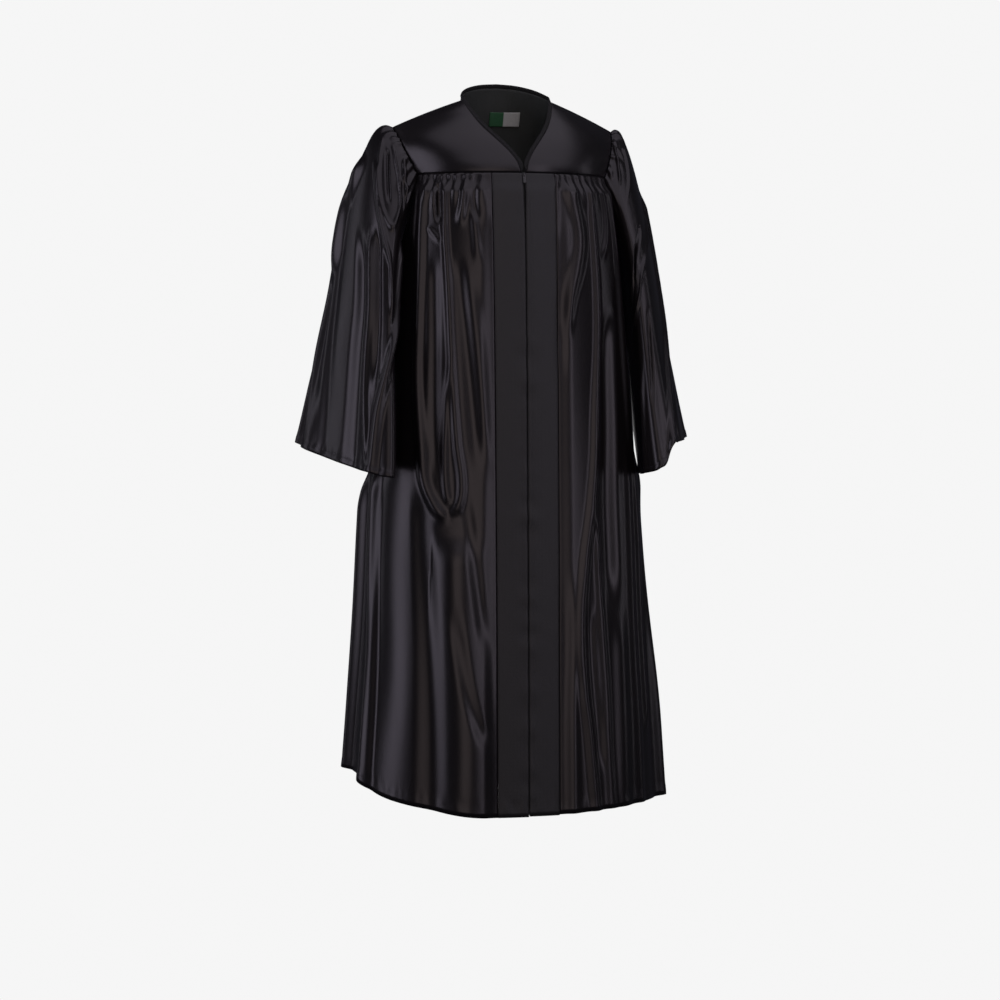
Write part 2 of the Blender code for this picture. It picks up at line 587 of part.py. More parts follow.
def patch(low, high, near, far, a, b):
    """A smooth patch between four edges, each a function of the share along it."""
    a3 = a[..., None]
    b3 = b[..., None]
    zero = np.zeros_like(a)
    one = np.ones_like(a)
    across = (1 - b3) * low(a) + b3 * high(a)
    up = (1 - a3) * near(b) + a3 * far(b)
    corners = (1 - a3) * (1 - b3) * low(zero) + a3 * (1 - b3) * low(one)
    corners = corners + (1 - a3) * b3 * high(zero) + a3 * b3 * high(one)
    return across + up - corners


def bowed(start, end, bow, share):
    """A line from start to end that bows out by the third vector halfway."""
    share = share[..., None]
    line = blended(np.array(start), np.array(end), share)
    return line + 4 * share * (1 - share) * np.array(bow)


def neck_point(share):
    """The neckline on the +X side: 0 at the foot of the V, 1 at the nape."""
    rows = np.array(NECKLINE)
    keys = np.concatenate([[0.0], np.cumsum(np.linalg.norm(np.diff(rows, axis=0), axis=1))])
    return through(keys / keys[-1], rows, share)


def neck_side_share():
    """How far along the neckline its side neck point is."""
    steps = np.linalg.norm(np.diff(np.array(NECKLINE), axis=0), axis=1)
    return steps[:NECK_SIDE].sum() / steps.sum()


def front_corner():
    """Where the front yoke seam meets the armhole."""
    return plain_point(ARMHOLE_FRONT, YOKE_SEAM_FRONT)


def back_corner():
    """Where the back yoke seam meets the armhole."""
    return plain_point(ARMHOLE_BACK, YOKE_SEAM_BACK)


def front_yoke_point(a, b):
    """The front yoke on +X: a from the neck to the armhole, b from the seam to the shoulder."""
    side = neck_side_share()
    start = angle_at(NECKLINE[0].x, YOKE_SEAM_FRONT)

    def low(share):
        return plain_point(blended(start, ARMHOLE_FRONT, share), YOKE_SEAM_FRONT)

    def high(share):
        return bowed(NECKLINE[NECK_SIDE], SHOULDER_TIP, SHOULDER_BOW, share)

    def near(share):
        to_seam = low(0.0 * share) - neck_point(0.0 * share)
        return neck_point(share * side) + to_seam * (1 - share[..., None])

    def far(share):
        return bowed(front_corner(), SHOULDER_TIP, ARMHOLE_FRONT_BOW, share)

    bulge = YOKE_BULGE * 16 * (a * (1 - a) * b * (1 - b))[..., None]
    return patch(low, high, near, far, a, b) + bulge * np.array([0.0, -0.75, 0.65])


def back_yoke_point(a, b):
    """The back yoke on +X: a from the centre back to the armhole, b from the seam to the top."""
    side = neck_side_share()

    def low(share):
        return plain_point(blended(180.0, ARMHOLE_BACK, share), YOKE_SEAM_BACK)

    def high(share):
        neck = neck_point(blended(1.0, side, np.clip(share / NECK_PART, 0.0, 1.0)))
        past = np.clip((share - NECK_PART) / (1.0 - NECK_PART), 0.0, 1.0)
        shoulder = bowed(NECKLINE[NECK_SIDE], SHOULDER_TIP, SHOULDER_BOW, past)
        return np.where((share < NECK_PART)[..., None], neck, shoulder)

    def near(share):
        return bowed(low(np.zeros(1))[0], NECKLINE[-1], (0.0, 0.0050, 0.0), share)

    def far(share):
        return bowed(back_corner(), SHOULDER_TIP, ARMHOLE_BACK_BOW, share)

    bulge = YOKE_BULGE * 16 * (a * (1 - a) * b * (1 - b))[..., None]
    return patch(low, high, near, far, a, b) + bulge * np.array([0.0, 0.75, 0.65])


def yoke_front_place(side):
    """Puts a front yoke's grid in place, a seam's gap short of its neighbours."""

    def place(u, v):
        points = front_yoke_point(blended(0.004, 0.998, u), blended(0.0, SHOULDER_EDGE, 1.0 - v))
        points[..., 2] += SEAM_GAP * 0.3
        return points * np.array([side, 1.0, 1.0])

    return place


def yoke_back_place(u, v):
    """Puts half of the back yoke's grid in place; the mirror makes the other half."""
    points = back_yoke_point(blended(0.0, 0.998, u), blended(0.0, SHOULDER_EDGE, 1.0 - v))
    points[..., 2] += SEAM_GAP * 0.3
    points[..., 0] = np.where(u < 1e-6, 0.0, points[..., 0])
    return points


def armhole_ring():
    """The armhole on +X, from the shoulder tip down the front, round the underarm and up the back."""
    upper = np.linspace(1.0, 0.0, YOKE_ROWS + 1)
    lower = np.linspace(0.0, 1.0, ARMHOLE_COLUMNS + 1)
    front_angle = 90.0 - (90.0 - ARMHOLE_FRONT) * np.cos(0.5 * np.pi * lower)
    back_angle = 90.0 + (ARMHOLE_BACK - 90.0) * np.cos(0.5 * np.pi * lower[::-1])
    stretches = [
        front_yoke_point(np.ones_like(upper), upper)[:-1],
        plain_point(front_angle, armhole_height(front_angle))[:-1],
        plain_point(back_angle, armhole_height(back_angle))[:-1],
        back_yoke_point(np.ones_like(upper), upper[::-1])[:-1],
    ]
    return np.concatenate(stretches)


def ring_turns(ring):
    """How far round the sleeve each point of the armhole lies, in degrees."""
    steps = np.linalg.norm(np.roll(ring, -1, axis=0) - ring, axis=1)
    under = YOKE_ROWS + ARMHOLE_COLUMNS
    front = np.concatenate([[0.0], np.cumsum(steps[:under])])
    back = np.concatenate([[0.0], np.cumsum(steps[under:])])
    return np.concatenate([180.0 * front / front[-1], 180.0 + 180.0 * back[1:-1] / back[-1]])


def round_the_sleeve(table, turn):
    """A vector that is given over, in front, under and behind, at any place round the sleeve."""
    over, front, under, back = [np.array(table[name]) for name in ("over", "front", "under", "back")]
    turn = np.radians(turn)[..., None]
    middle = 0.25 * (over + front + under + back)
    twice = 0.25 * (over + under - front - back)
    once = 0.5 * (over - under) * np.cos(turn) + 0.5 * (front - back) * np.sin(turn)
    return middle + once + twice * np.cos(2 * turn)


def cuff_point(side, turn):
    """The cuff's edge, as it would be on +X."""
    round_cuff = np.radians(turn)
    lean = radians(CUFF_TURN)
    out = CUFF_HALF_WIDTH[side] * np.cos(round_cuff)
    forward = CUFF_HALF_DEPTH * np.sin(round_cuff)
    x = CUFF_CENTRE[0] - CUFF_INWARDS[side] + out * cos(lean) - forward * sin(lean)
    y = CUFF_CENTRE[1] - out * sin(lean) - forward * cos(lean)
    heights = [row.right if side < 0 else row.left for row in CUFF_ROWS]
    z = through([row.turn for row in CUFF_ROWS], heights, turn)
    return np.stack([x, y, z], -1)


def sleeve_points(side, folds, share):
    """The sleeve's rings: one row for each share along it, one column for each point round it."""
    ring = armhole_ring()
    turns = ring_turns(ring)
    away = ring[:, :2] - np.array([0.0, 0.02])
    away = np.column_stack([away[:, 0], 0.6 * away[:, 1], 0.0 * away[:, 0]])
    ring = ring + SEAM_GAP * 1.3 * away / np.linalg.norm(away, axis=1, keepdims=True)
    t = share[:, None, None]
    leaves = round_the_sleeve(SLEEVE_LEAVES, turns) * np.array([SLEEVE_OUT[side], 1.0, 1.0])
    start = (1 + 2 * t) * (1 - t) ** 2 * ring + t * (1 - t) ** 2 * leaves
    cuff = cuff_point(side, turns)
    end = t * t * (3 - 2 * t) * cuff - t * t * (1 - t) * round_the_sleeve(SLEEVE_ARRIVES, turns)
    points = start + end
    normals = grid_normals(points)
    centre = points.mean(axis=1, keepdims=True)
    if ((points - centre) * normals).sum() < 0:
        normals = -normals
    points = points + sleeve_lift(folds, turns, share)[..., None] * normals
    return points * np.array([side, 1.0, 1.0])


def grid_normals(points):
    """The direction straight out of a tube's surface at each of its points."""
    round_it = np.roll(points, -1, axis=1) - np.roll(points, 1, axis=1)
    along = np.gradient(points, axis=0)
    normals = np.cross(round_it, along)
    return normals / np.maximum(np.linalg.norm(normals, axis=-1, keepdims=True), 1e-9)


def sleeve_lift(folds, turns, share):
    """How far a sleeve's folds move each of its points outwards."""
    per_degree = SLEEVE_ROUND / 360.0
    turn, along = np.meshgrid(turns, share)
    turn = turn.ravel()
    along = along.ravel()
    lift = np.zeros_like(turn)
    for fold in folds:
        keys = range(len(fold.turns))
        steps = np.linspace(0.0, len(fold.turns) - 1.0, 6 * len(fold.turns))
        path_turn = through(keys, fold.turns, steps) * per_degree
        path_along = through(keys, fold.along, steps) * SLEEVE_LENGTH
        for shifted in (turn, turn - 360.0, turn + 360.0):
            lift += fold_lift(
                fold, shifted * per_degree, along * SLEEVE_LENGTH, path_turn, path_along
            )
    flat_by_seam = smooth_step((along * SLEEVE_LENGTH - TOP_STITCH) / 0.025)
    beside_body = smooth_step((np.cos(np.radians(turn - 185.0)) - 0.55) / 0.3)
    lift = lift * flat_by_seam * (1.0 - 0.9 * beside_body)
    return lift.reshape(len(share), len(turns))


def sleeve_place(side, folds):
    """Puts a sleeve's grid in place; the last column meets the first."""
    count = 2 * (YOKE_ROWS + ARMHOLE_COLUMNS)
    share = np.linspace(0.0, 1.0, SLEEVE_ROWS + 1) ** SLEEVE_CROWDING
    share[1] = TOP_STITCH / SLEEVE_LENGTH
    points = sleeve_points(side, folds, share)

    def place(u, v):
        column = np.rint(u * count).astype(int) % count
        row = np.rint(v * SLEEVE_ROWS).astype(int)
        return points[row, column]

    return place


def front_line(height):
    """The centre front of the body's cloth at each height."""
    return body_point(0.0 * height, height)


def material(name, colour, roughness, metallic=0.0):
    """A plain material in the real one's colour."""
    made = bpy.data.materials.new(name)
    made.use_nodes = True
    shader = made.node_tree.nodes["Principled BSDF"]
    shader.inputs["Base Color"].default_value = (*colour, 1.0)
    shader.inputs["Roughness"].default_value = roughness
    shader.inputs["Metallic"].default_value = metallic
    return made


def finish(shape, name, finish_material, collection):
    """An object from a bmesh, shaded smooth."""
    mesh = bpy.data.meshes.new(name)
    shape.to_mesh(mesh)
    shape.free()
    mesh.materials.append(finish_material)
    mesh.shade_smooth()
    made = bpy.data.objects.new(name, mesh)
    collection.objects.link(made)
    return made


def cloth(name, across, down, place, faces_from, finish_material, collection, wall=CLOTH):
    """A piece of cloth: a grid put in place by a function, with its wall on the inside."""
    shape = bmesh.new()
    bmesh.ops.create_grid(shape, x_segments=across, y_segments=down, size=0.5)
    u = np.array([vert.co.x + 0.5 for vert in shape.verts])
    v = np.array([0.5 - vert.co.y for vert in shape.verts])
    for vert, point in zip(shape.verts, place(u, v)):
        vert.co = point
    bmesh.ops.remove_doubles(shape, verts=shape.verts, dist=1e-6)
    shape.normal_update()
    inside = Vector(faces_from)
    facing = sum(face.normal.dot(face.calc_center_median() - inside) for face in shape.faces)
    if facing < 0:
        bmesh.ops.reverse_faces(shape, faces=shape.faces)
    made = finish(shape, name, finish_material, collection)
    thick = made.modifiers.new("wall", "SOLIDIFY")
    thick.thickness = wall
    thick.offset = -1.0
    thick.use_even_offset = True
    return made


def neck_binding(finish_material, collection):
    """The bound edge round the neck, which stands up from the yokes' edge."""
    share = np.linspace(0.0, 1.0, BINDING_COLUMNS + 1)
    edge = neck_point(share)
    inner = np.array([yoke_beside(part) for part in share])
    way = edge - inner
    way = way / np.linalg.norm(way, axis=1, keepdims=True)
    way[-1, 0] = 0.0
    way[0] = (-0.20, -0.15, 0.97)
    for _ in range(3):
        way[1:-1] = 0.25 * way[:-2] + 0.5 * way[1:-1] + 0.25 * way[2:]
    way = way / np.linalg.norm(way, axis=1, keepdims=True)

    def place(u, v):
        column = np.rint(u * BINDING_COLUMNS).astype(int)
        rise = blended(SEAM_GAP * 1.4, BINDING_HEIGHT, 1.0 - v)[:, None]
        points = edge[column] + rise * way[column]
        clear_of_slit = np.maximum(points[:, 0], BINDING_THICK * 0.6)
        points[:, 0] = np.where(column == BINDING_COLUMNS, 0.0, clear_of_slit)
        return points

    inside = (0.0, 0.0, -0.3)
    made = cloth(
        "neck_binding", BINDING_COLUMNS, 2, place, inside, finish_material, collection, BINDING_THICK
    )
    made.modifiers["wall"].offset = -0.4
    mirror_across(made)
    return made


def yoke_beside(share):
    """A point of the yoke a little way in from the neckline."""
    side = neck_side_share()
    if share < side:
        return front_yoke_point(np.array([0.08]), np.array([share / side]))[0]
    a = NECK_PART * (1.0 - share) / (1.0 - side)
    return back_yoke_point(np.array([a]), np.array([0.92]))[0]


def mirror_across(made):
    """Makes a half that is open at the middle whole."""
    mirror = made.modifiers.new("mirror", "MIRROR")
    mirror.merge_threshold = 0.0001
    made.modifiers.move(len(made.modifiers) - 1, 0)


def neck_label(finish_material, collection):
    """The label inside the back neck, a little off the yoke's inner side."""

    def place(u, v):
        x = LABEL_ACROSS + (u - 0.5) * LABEL_WIDTH
        z = LABEL_TOP - v * LABEL_HEIGHT
        a = np.full_like(x, 0.1)
        b = np.full_like(x, 0.7)
        for _ in range(8):
            here = back_yoke_point(a, b)
            step_a = (back_yoke_point(a + 1e-3, b) - here) / 1e-3
            step_b = (back_yoke_point(a, b + 1e-3) - here) / 1e-3
            miss_x = np.abs(x) - here[..., 0]
            miss_z = z - here[..., 2]
            size = step_a[..., 0] * step_b[..., 2] - step_b[..., 0] * step_a[..., 2]
            a = a + (miss_x * step_b[..., 2] - step_b[..., 0] * miss_z) / size
            b = b + (step_a[..., 0] * miss_z - miss_x * step_a[..., 2]) / size
        points = back_yoke_point(a, b)
        points[..., 0] = x
        points[..., 1] -= LABEL_INSIDE
        return points

    return cloth(
        "label", 8, 3, place, (0.0, -0.3, 0.0), finish_material, collection, LABEL_THICK
    )


def zip_strip(name, half, thick, behind, top, finish_material, collection):
    """A flat strip down behind the slit: the zip's tape or its closed chain."""
    foot = hem_height(0.0) + ZIP_ABOVE_HEM

    def place(u, v):
        height = blended(top, foot, row_share(v))
        points = front_line(height)
        points[..., 0] = (u - 0.5) * 2 * half
        points[..., 1] += behind
        return points

    return cloth(name, 2, ZIP_ROWS, place, (0.0, 0.5, -0.6), finish_material, collection, thick)


def slider_frame():
    """Where the slider's bridge crosses the pull's bar, and how the band slopes there."""
    top = YOKE_SEAM_FRONT - 0.004
    low = front_line(np.array([top - PULL_LENGTH]))[0]
    high = front_line(np.array([top]))[0]
    slope = np.arctan2(high[1] - low[1], high[2] - low[2])
    return high, slope


def block(shape, low, high):
    """A box between two corners, added to a bmesh."""
    size = [b - a for a, b in zip(low, high)]
    middle = [0.5 * (a + b) for a, b in zip(low, high)]
    place = Matrix.Translation(middle) @ Matrix.Diagonal((*size, 1.0))
    bmesh.ops.create_cube(shape, size=1.0, matrix=place)


def zip_slider(finish_material, collection, cutters):
    """The slider behind the slit, with the bridge that stands out through it."""
    place, slope = slider_frame()
    body = bmesh.new()
    back = SLIDER_BEHIND
    half = SLIDER_LENGTH / 2
    block(body, (-SLIDER_HALF, back, -half), (SLIDER_HALF, back + SLIDER_THICK, half))
    made = finish(body, "zip_slider", finish_material, collection)
    bridge = bmesh.new()
    reach = back + 0.5 * SLIDER_THICK
    high = BRIDGE_HALF_HEIGHT
    block(bridge, (-BRIDGE_HALF, -BRIDGE_REACH, -high), (BRIDGE_HALF, reach, high))
    bridge_block = finish(bridge, "bridge_block", finish_material, cutters)
    hole = bmesh.new()
    inner = high - BRIDGE_BAR
    block(hole, (-0.01, -BRIDGE_REACH + BRIDGE_BAR, -inner), (0.01, back - 0.0001, inner))
    bridge_hole = finish(hole, "bridge_hole", finish_material, cutters)
    cut = bridge_block.modifiers.new("hole", "BOOLEAN")
    cut.object = bridge_hole
    join = made.modifiers.new("bridge", "BOOLEAN")
    join.operation = "UNION"
    join.object = bridge_block
    for helper in (bridge_block, bridge_hole):
        helper.hide_render = True
        helper.display_type = "WIRE"
    for each in (made, bridge_block, bridge_hole):
        each.location = place
        each.rotation_euler = (-slope, 0.0, 0.0)
    return made


def zip_pull(finish_material, collection, cutters):
    """The pull tab, whose top bar passes under the slider's bridge."""
    place, slope = slider_frame()
    bar_out = -BRIDGE_REACH + BRIDGE_BAR + 0.0003 + PULL_THICK / 2
    plate = bmesh.new()
    half = PULL_THICK / 2
    block(plate, (-PULL_HALF, -half, -PULL_LENGTH + half), (PULL_HALF, half, half))
    made = finish(plate, "zip_pull", finish_material, collection)
    eye = bmesh.new()
    inner = PULL_HALF - PULL_RIM
    block(eye, (-inner, -0.01, -half - PULL_EYE), (inner, 0.01, -half))
    pull_eye = finish(eye, "pull_eye", finish_material, cutters)
    pull_eye.hide_render = True
    pull_eye.display_type = "WIRE"
    cut = made.modifiers.new("eye", "BOOLEAN")
    cut.object = pull_eye
    turn = Matrix.Rotation(-slope, 4, "X")
    axis = Matrix.Translation(place) @ turn @ Matrix.Translation((0.0, bar_out, 0.0))
    for each in (made, pull_eye):
        each.matrix_world = axis
    return made


def build():
    """All the pieces, in a collection named for the gown."""
    for old in list(bpy.data.objects):
        bpy.data.objects.remove(old)
    gown = bpy.data.collections.new("graduation_gown")
    cutters = bpy.data.collections.new("cutters")
    bpy.context.scene.collection.children.link(gown)
    bpy.context.scene.collection.children.link(cutters)
    satin = material("black_satin", SATIN, 0.32)
    matt = material("matt_band", MATT_BAND, 0.55)
    bound = material("bound_edge", BINDING, 0.70)
    black = material("zip_black", ZIP_BLACK, 0.45)
    steel = material("slider_metal", STEEL, 0.35, 1.0)
    white = material("label_white", LABEL_WHITE, 0.60)
    middle = (0.0, 0.02, -0.6)
    chest = (0.0, 0.02, -0.25)
    for side, word in ((-1, "right"), (1, "left")):
        cloth(f"yoke_front_{word}", YOKE_COLUMNS, YOKE_ROWS, yoke_front_place(side), chest, satin, gown)
        columns = FRONT_COLUMNS + ARMHOLE_COLUMNS
        cloth(f"front_panel_{word}", columns, PANEL_ROWS, front_place(side), middle, satin, gown)
        cloth(f"front_band_{word}", BAND_COLUMNS, PANEL_ROWS, band_place(side), middle, matt, gown)
        folds = RIGHT_SLEEVE_FOLDS if side < 0 else LEFT_SLEEVE_FOLDS
        count = 2 * (YOKE_ROWS + ARMHOLE_COLUMNS)
        inside = (side * 0.27, 0.0, -0.40)
        cloth(f"sleeve_{word}", count, SLEEVE_ROWS, sleeve_place(side, folds), inside, satin, gown)
    cloth(
        "back_panel", BACK_COLUMNS + 2 * ARMHOLE_COLUMNS, PANEL_ROWS, back_place, middle, satin, gown
    )
    mirror_across(cloth("yoke_back", YOKE_COLUMNS, YOKE_ROWS, yoke_back_place, chest, satin, gown))
    neck_binding(bound, gown)
    neck_label(white, gown)
    slider_foot = slider_frame()[0][2] - 0.5 * SLIDER_LENGTH
    tape_top = YOKE_SEAM_FRONT - 0.001
    chain_top = slider_foot - 0.0006
    zip_strip("zip_tape", ZIP_TAPE_HALF, ZIP_TAPE_THICK, ZIP_TAPE_BEHIND, tape_top, black, gown)
    zip_strip("zip_chain", ZIP_CHAIN_HALF, ZIP_CHAIN_THICK, ZIP_CHAIN_BEHIND, chain_top, black, gown)
    zip_slider(steel, gown, cutters)
    zip_pull(steel, gown, cutters)


build()
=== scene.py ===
# The looks of a worn graduation gown of black satin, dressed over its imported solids.
# Metres, +Z up. The front faces -Y and the wearer's left side is +X.
# A place on the body is given by its height and by its angle round from the centre front,
# in degrees, growing towards +X. The centre back is 180.

from collections import namedtuple
from math import cos, pi, radians, sin

import bmesh
import bpy
import numpy as np
from mathutils import Matrix, Vector


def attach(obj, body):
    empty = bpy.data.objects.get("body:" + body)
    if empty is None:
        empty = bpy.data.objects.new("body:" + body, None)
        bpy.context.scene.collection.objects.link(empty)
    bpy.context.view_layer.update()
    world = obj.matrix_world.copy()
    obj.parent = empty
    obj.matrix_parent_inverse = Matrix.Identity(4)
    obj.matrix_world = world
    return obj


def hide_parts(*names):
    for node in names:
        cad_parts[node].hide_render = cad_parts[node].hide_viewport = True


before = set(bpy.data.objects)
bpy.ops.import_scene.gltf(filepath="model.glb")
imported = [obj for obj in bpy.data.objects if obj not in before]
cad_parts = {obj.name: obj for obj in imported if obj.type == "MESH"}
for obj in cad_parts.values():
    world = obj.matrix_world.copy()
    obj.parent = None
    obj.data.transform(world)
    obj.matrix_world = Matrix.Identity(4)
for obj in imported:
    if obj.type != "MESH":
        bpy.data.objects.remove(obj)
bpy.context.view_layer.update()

# The garment's sizes, as in its solids
SEAM_GAP = 0.00035
SIDE_SEAM_SHORT = 0.02
YOKE_SEAM_FRONT = -0.1360
YOKE_SEAM_BACK = -0.1300
UNDERARM = -0.2950
BAND_WIDTH = 0.0570
SLIT_HALF_TOP = 0.0019
SLIT_HALF = 0.0006
SLIT_OPEN_TO = -0.2300
ARMHOLE_FRONT = 67.0
ARMHOLE_BACK = 116.0
BINDING_HEIGHT = 0.0065
BINDING_THICK = 0.0030
BINDING_WRAP = 0.0016
TOP_STITCH = 0.0035
FRONT_FULLNESS = 0.0070
LABEL_WIDTH = 0.0550
LABEL_HEIGHT = 0.0250
LABEL_ACROSS = 0.0190
LABEL_TOP = -0.0135
LABEL_INSIDE = 0.0037
ZIP_ABOVE_HEM = 0.0030
ZIP_TAPE_HALF = 0.0110
ZIP_TAPE_BEHIND = 0.0048

# What only the looks need
WALL = 0.0006
HEM_TURN = 0.0160
CUFF_TURN_UP = 0.0130
STITCH_LONG = 0.0024
STITCH_PITCH = 0.0034
STITCH_THICK = 0.00045
GATHER_HALF = 0.0055
BODY_UNEVEN = 0.0007
SLEEVE_UNEVEN = 0.0007
YOKE_UNEVEN = 0.0005

# The garment's plain form, one row for each height, before any folds
Section = namedtuple("Section", "height half_width front back middle boxiness")
BODY = [
    Section(-0.100, 0.180, -0.108, 0.108, 0.020, 0.000),
    Section(-0.136, 0.188, -0.118, 0.117, 0.020, 0.000),
    Section(-0.220, 0.202, -0.129, 0.132, 0.020, 0.008),
    Section(-0.300, 0.212, -0.135, 0.141, 0.020, 0.015),
    Section(-0.450, 0.229, -0.142, 0.152, 0.022, 0.022),
    Section(-0.650, 0.244, -0.149, 0.168, 0.024, 0.030),
    Section(-0.950, 0.259, -0.156, 0.190, 0.026, 0.030),
    Section(-1.280, 0.284, -0.160, 0.214, 0.030, 0.025),
]

# The hem's height round the body
Hem = namedtuple("Hem", "angle height")
HEM = [
    Hem(-180, -1.258),
    Hem(-150, -1.238),
    Hem(-118, -1.196),
    Hem(-92, -1.199),
    Hem(-78, -1.204),
    Hem(-64, -1.227),
    Hem(-40, -1.250),
    Hem(-16, -1.267),
    Hem(0, -1.268),
    Hem(16, -1.265),
    Hem(45, -1.257),
    Hem(75, -1.254),
    Hem(95, -1.251),
    Hem(120, -1.250),
    Hem(150, -1.262),
    Hem(180, -1.258),
]

# Half of the neckline, from the foot of the V over the side neck point to the nape
NeckPoint = namedtuple("NeckPoint", "x y z")
NECKLINE = [
    NeckPoint(0.0035, -0.1175, -0.1350),
    NeckPoint(0.0075, -0.1140, -0.1200),
    NeckPoint(0.0180, -0.1035, -0.1010),
    NeckPoint(0.0360, -0.0865, -0.0780),
    NeckPoint(0.0575, -0.0610, -0.0520),
    NeckPoint(0.0740, -0.0300, -0.0240),
    NeckPoint(0.0815, 0.0000, 0.0000),
    NeckPoint(0.0765, 0.0290, 0.0100),
    NeckPoint(0.0605, 0.0525, 0.0200),
    NeckPoint(0.0330, 0.0680, 0.0275),
    NeckPoint(0.0000, 0.0730, 0.0300),
]
NECK_SIDE = 6
SHOULDER_TIP = (0.2035, 0.0280, -0.0490)
SHOULDER_BOW = (0.0000, 0.0000, 0.0020)
ARMHOLE_FRONT_BOW = (0.0030, -0.0100, 0.0030)
ARMHOLE_BACK_BOW = (0.0030, 0.0130, 0.0040)
YOKE_BULGE = 0.0050
# How near the yokes come to the shoulder seam, as a share of their height
SHOULDER_EDGE = 0.9905
# The share of the back yoke's top edge that is neckline, and not shoulder seam
NECK_PART = 0.42
# How far below the seams the panels' columns are spread evenly again
SPREAD_DEPTH = 0.30

# Folds of the body. Each runs down a path of angles and heights, and its crest stands out
# by its lift, or sinks in where that is below 0
Fold = namedtuple("Fold", "angles heights width_top width_foot lift fade_top fade_foot")
SEAM = -0.140
RIGHT_FRONT_FOLDS = [
    Fold(
        (-55, -56, -54, -52, -50, -46, -44, -40, -35, -32),
        (SEAM, -0.20, -0.288, -0.394, -0.50, -0.614, -0.674, -0.714, -0.738, -0.74),
        0.014, 0.014, 0.0065, 0.02, 0.02,
    ),
    Fold(
        (-44, -41, -37, -34, -32, -30, -28, -28, -32),
        (SEAM, -0.236, -0.342, -0.448, -0.534, -0.614, -0.666, -0.71, -0.74),
        0.009, 0.011, 0.0050, 0.02, 0.02,
    ),
    Fold(
        (-34, -35, -35, -35, -34, -32),
        (-0.452, -0.518, -0.578, -0.64, -0.692, -0.724),
        0.007, 0.009, 0.0030, 0.06, 0.02,
    ),
    Fold((-48, -46, -44), (-0.152, -0.192, -0.23), 0.009, 0.009, -0.0070, 0.01, 0.02),
    Fold((-46, -42, -40, -38), (-0.272, -0.43, -0.588, -0.684), 0.014, 0.014, -0.0035, 0.06, 0.06),
    Fold((-52, -47, -41), (-0.23, -0.244, -0.264), 0.007, 0.007, 0.0030, 0.01, 0.02),
    Fold((-32, -32, -34), (SEAM, -0.188, -0.236), 0.009, 0.011, 0.0040, 0.02, 0.03),
    Fold((-22, -20, -18), (SEAM, -0.188, -0.24), 0.009, 0.013, 0.0030, 0.02, 0.04),
    Fold((-27, -25, -23), (-0.194, -0.246, -0.304), 0.007, 0.011, 0.0025, 0.03, 0.04),
    Fold((-28, -26, -24), (SEAM, -0.192, -0.23), 0.007, 0.009, -0.0030, 0.01, 0.03),
    Fold((-66, -63, -61), (-0.146, -0.208, -0.28), 0.011, 0.014, 0.0050, 0.02, 0.05),
    Fold(
        (-34, -29, -25, -22, -19),
        (-0.272, -0.378, -0.50, -0.604, -0.692),
        0.014, 0.020, -0.0035, 0.06, 0.10,
    ),
    Fold((-29, -23, -19, -17), (-0.298, -0.43, -0.57, -0.674), 0.016, 0.020, 0.0030, 0.08, 0.10),
    Fold(
        (-27, -24, -21, -18, -16),
        (-0.674, -0.762, -0.858, -0.944, -0.98),
        0.013, 0.014, -0.0025, 0.08, 0.06,
    ),
    Fold(
        (-30, -27, -23, -18, -14),
        (-0.884, -0.97, -1.058, -1.124, -1.146),
        0.014, 0.014, -0.0030, 0.08, 0.04,
    ),
    Fold(
        (-30, -29, -26, -24, -23),
        (-0.762, -0.884, -1.022, -1.144, -1.30),
        0.049, 0.056, 0.0130, 0.06, 0.00,
    ),
    Fold(
        (-45, -43, -40, -38, -36),
        (-0.672, -0.814, -0.954, -1.092, -1.30),
        0.023, 0.032, -0.0040, 0.08, 0.00,
    ),
    Fold(
        (-71, -71, -71, -69, -68),
        (-0.676, -0.818, -0.96, -1.10, -1.214),
        0.009, 0.011, 0.0015, 0.06, 0.00,
    ),
    Fold((-78, -77, -74, -72), (-0.58, -0.80, -1.02, -1.30), 0.026, 0.034, 0.0140, 0.12, 0.00),
]
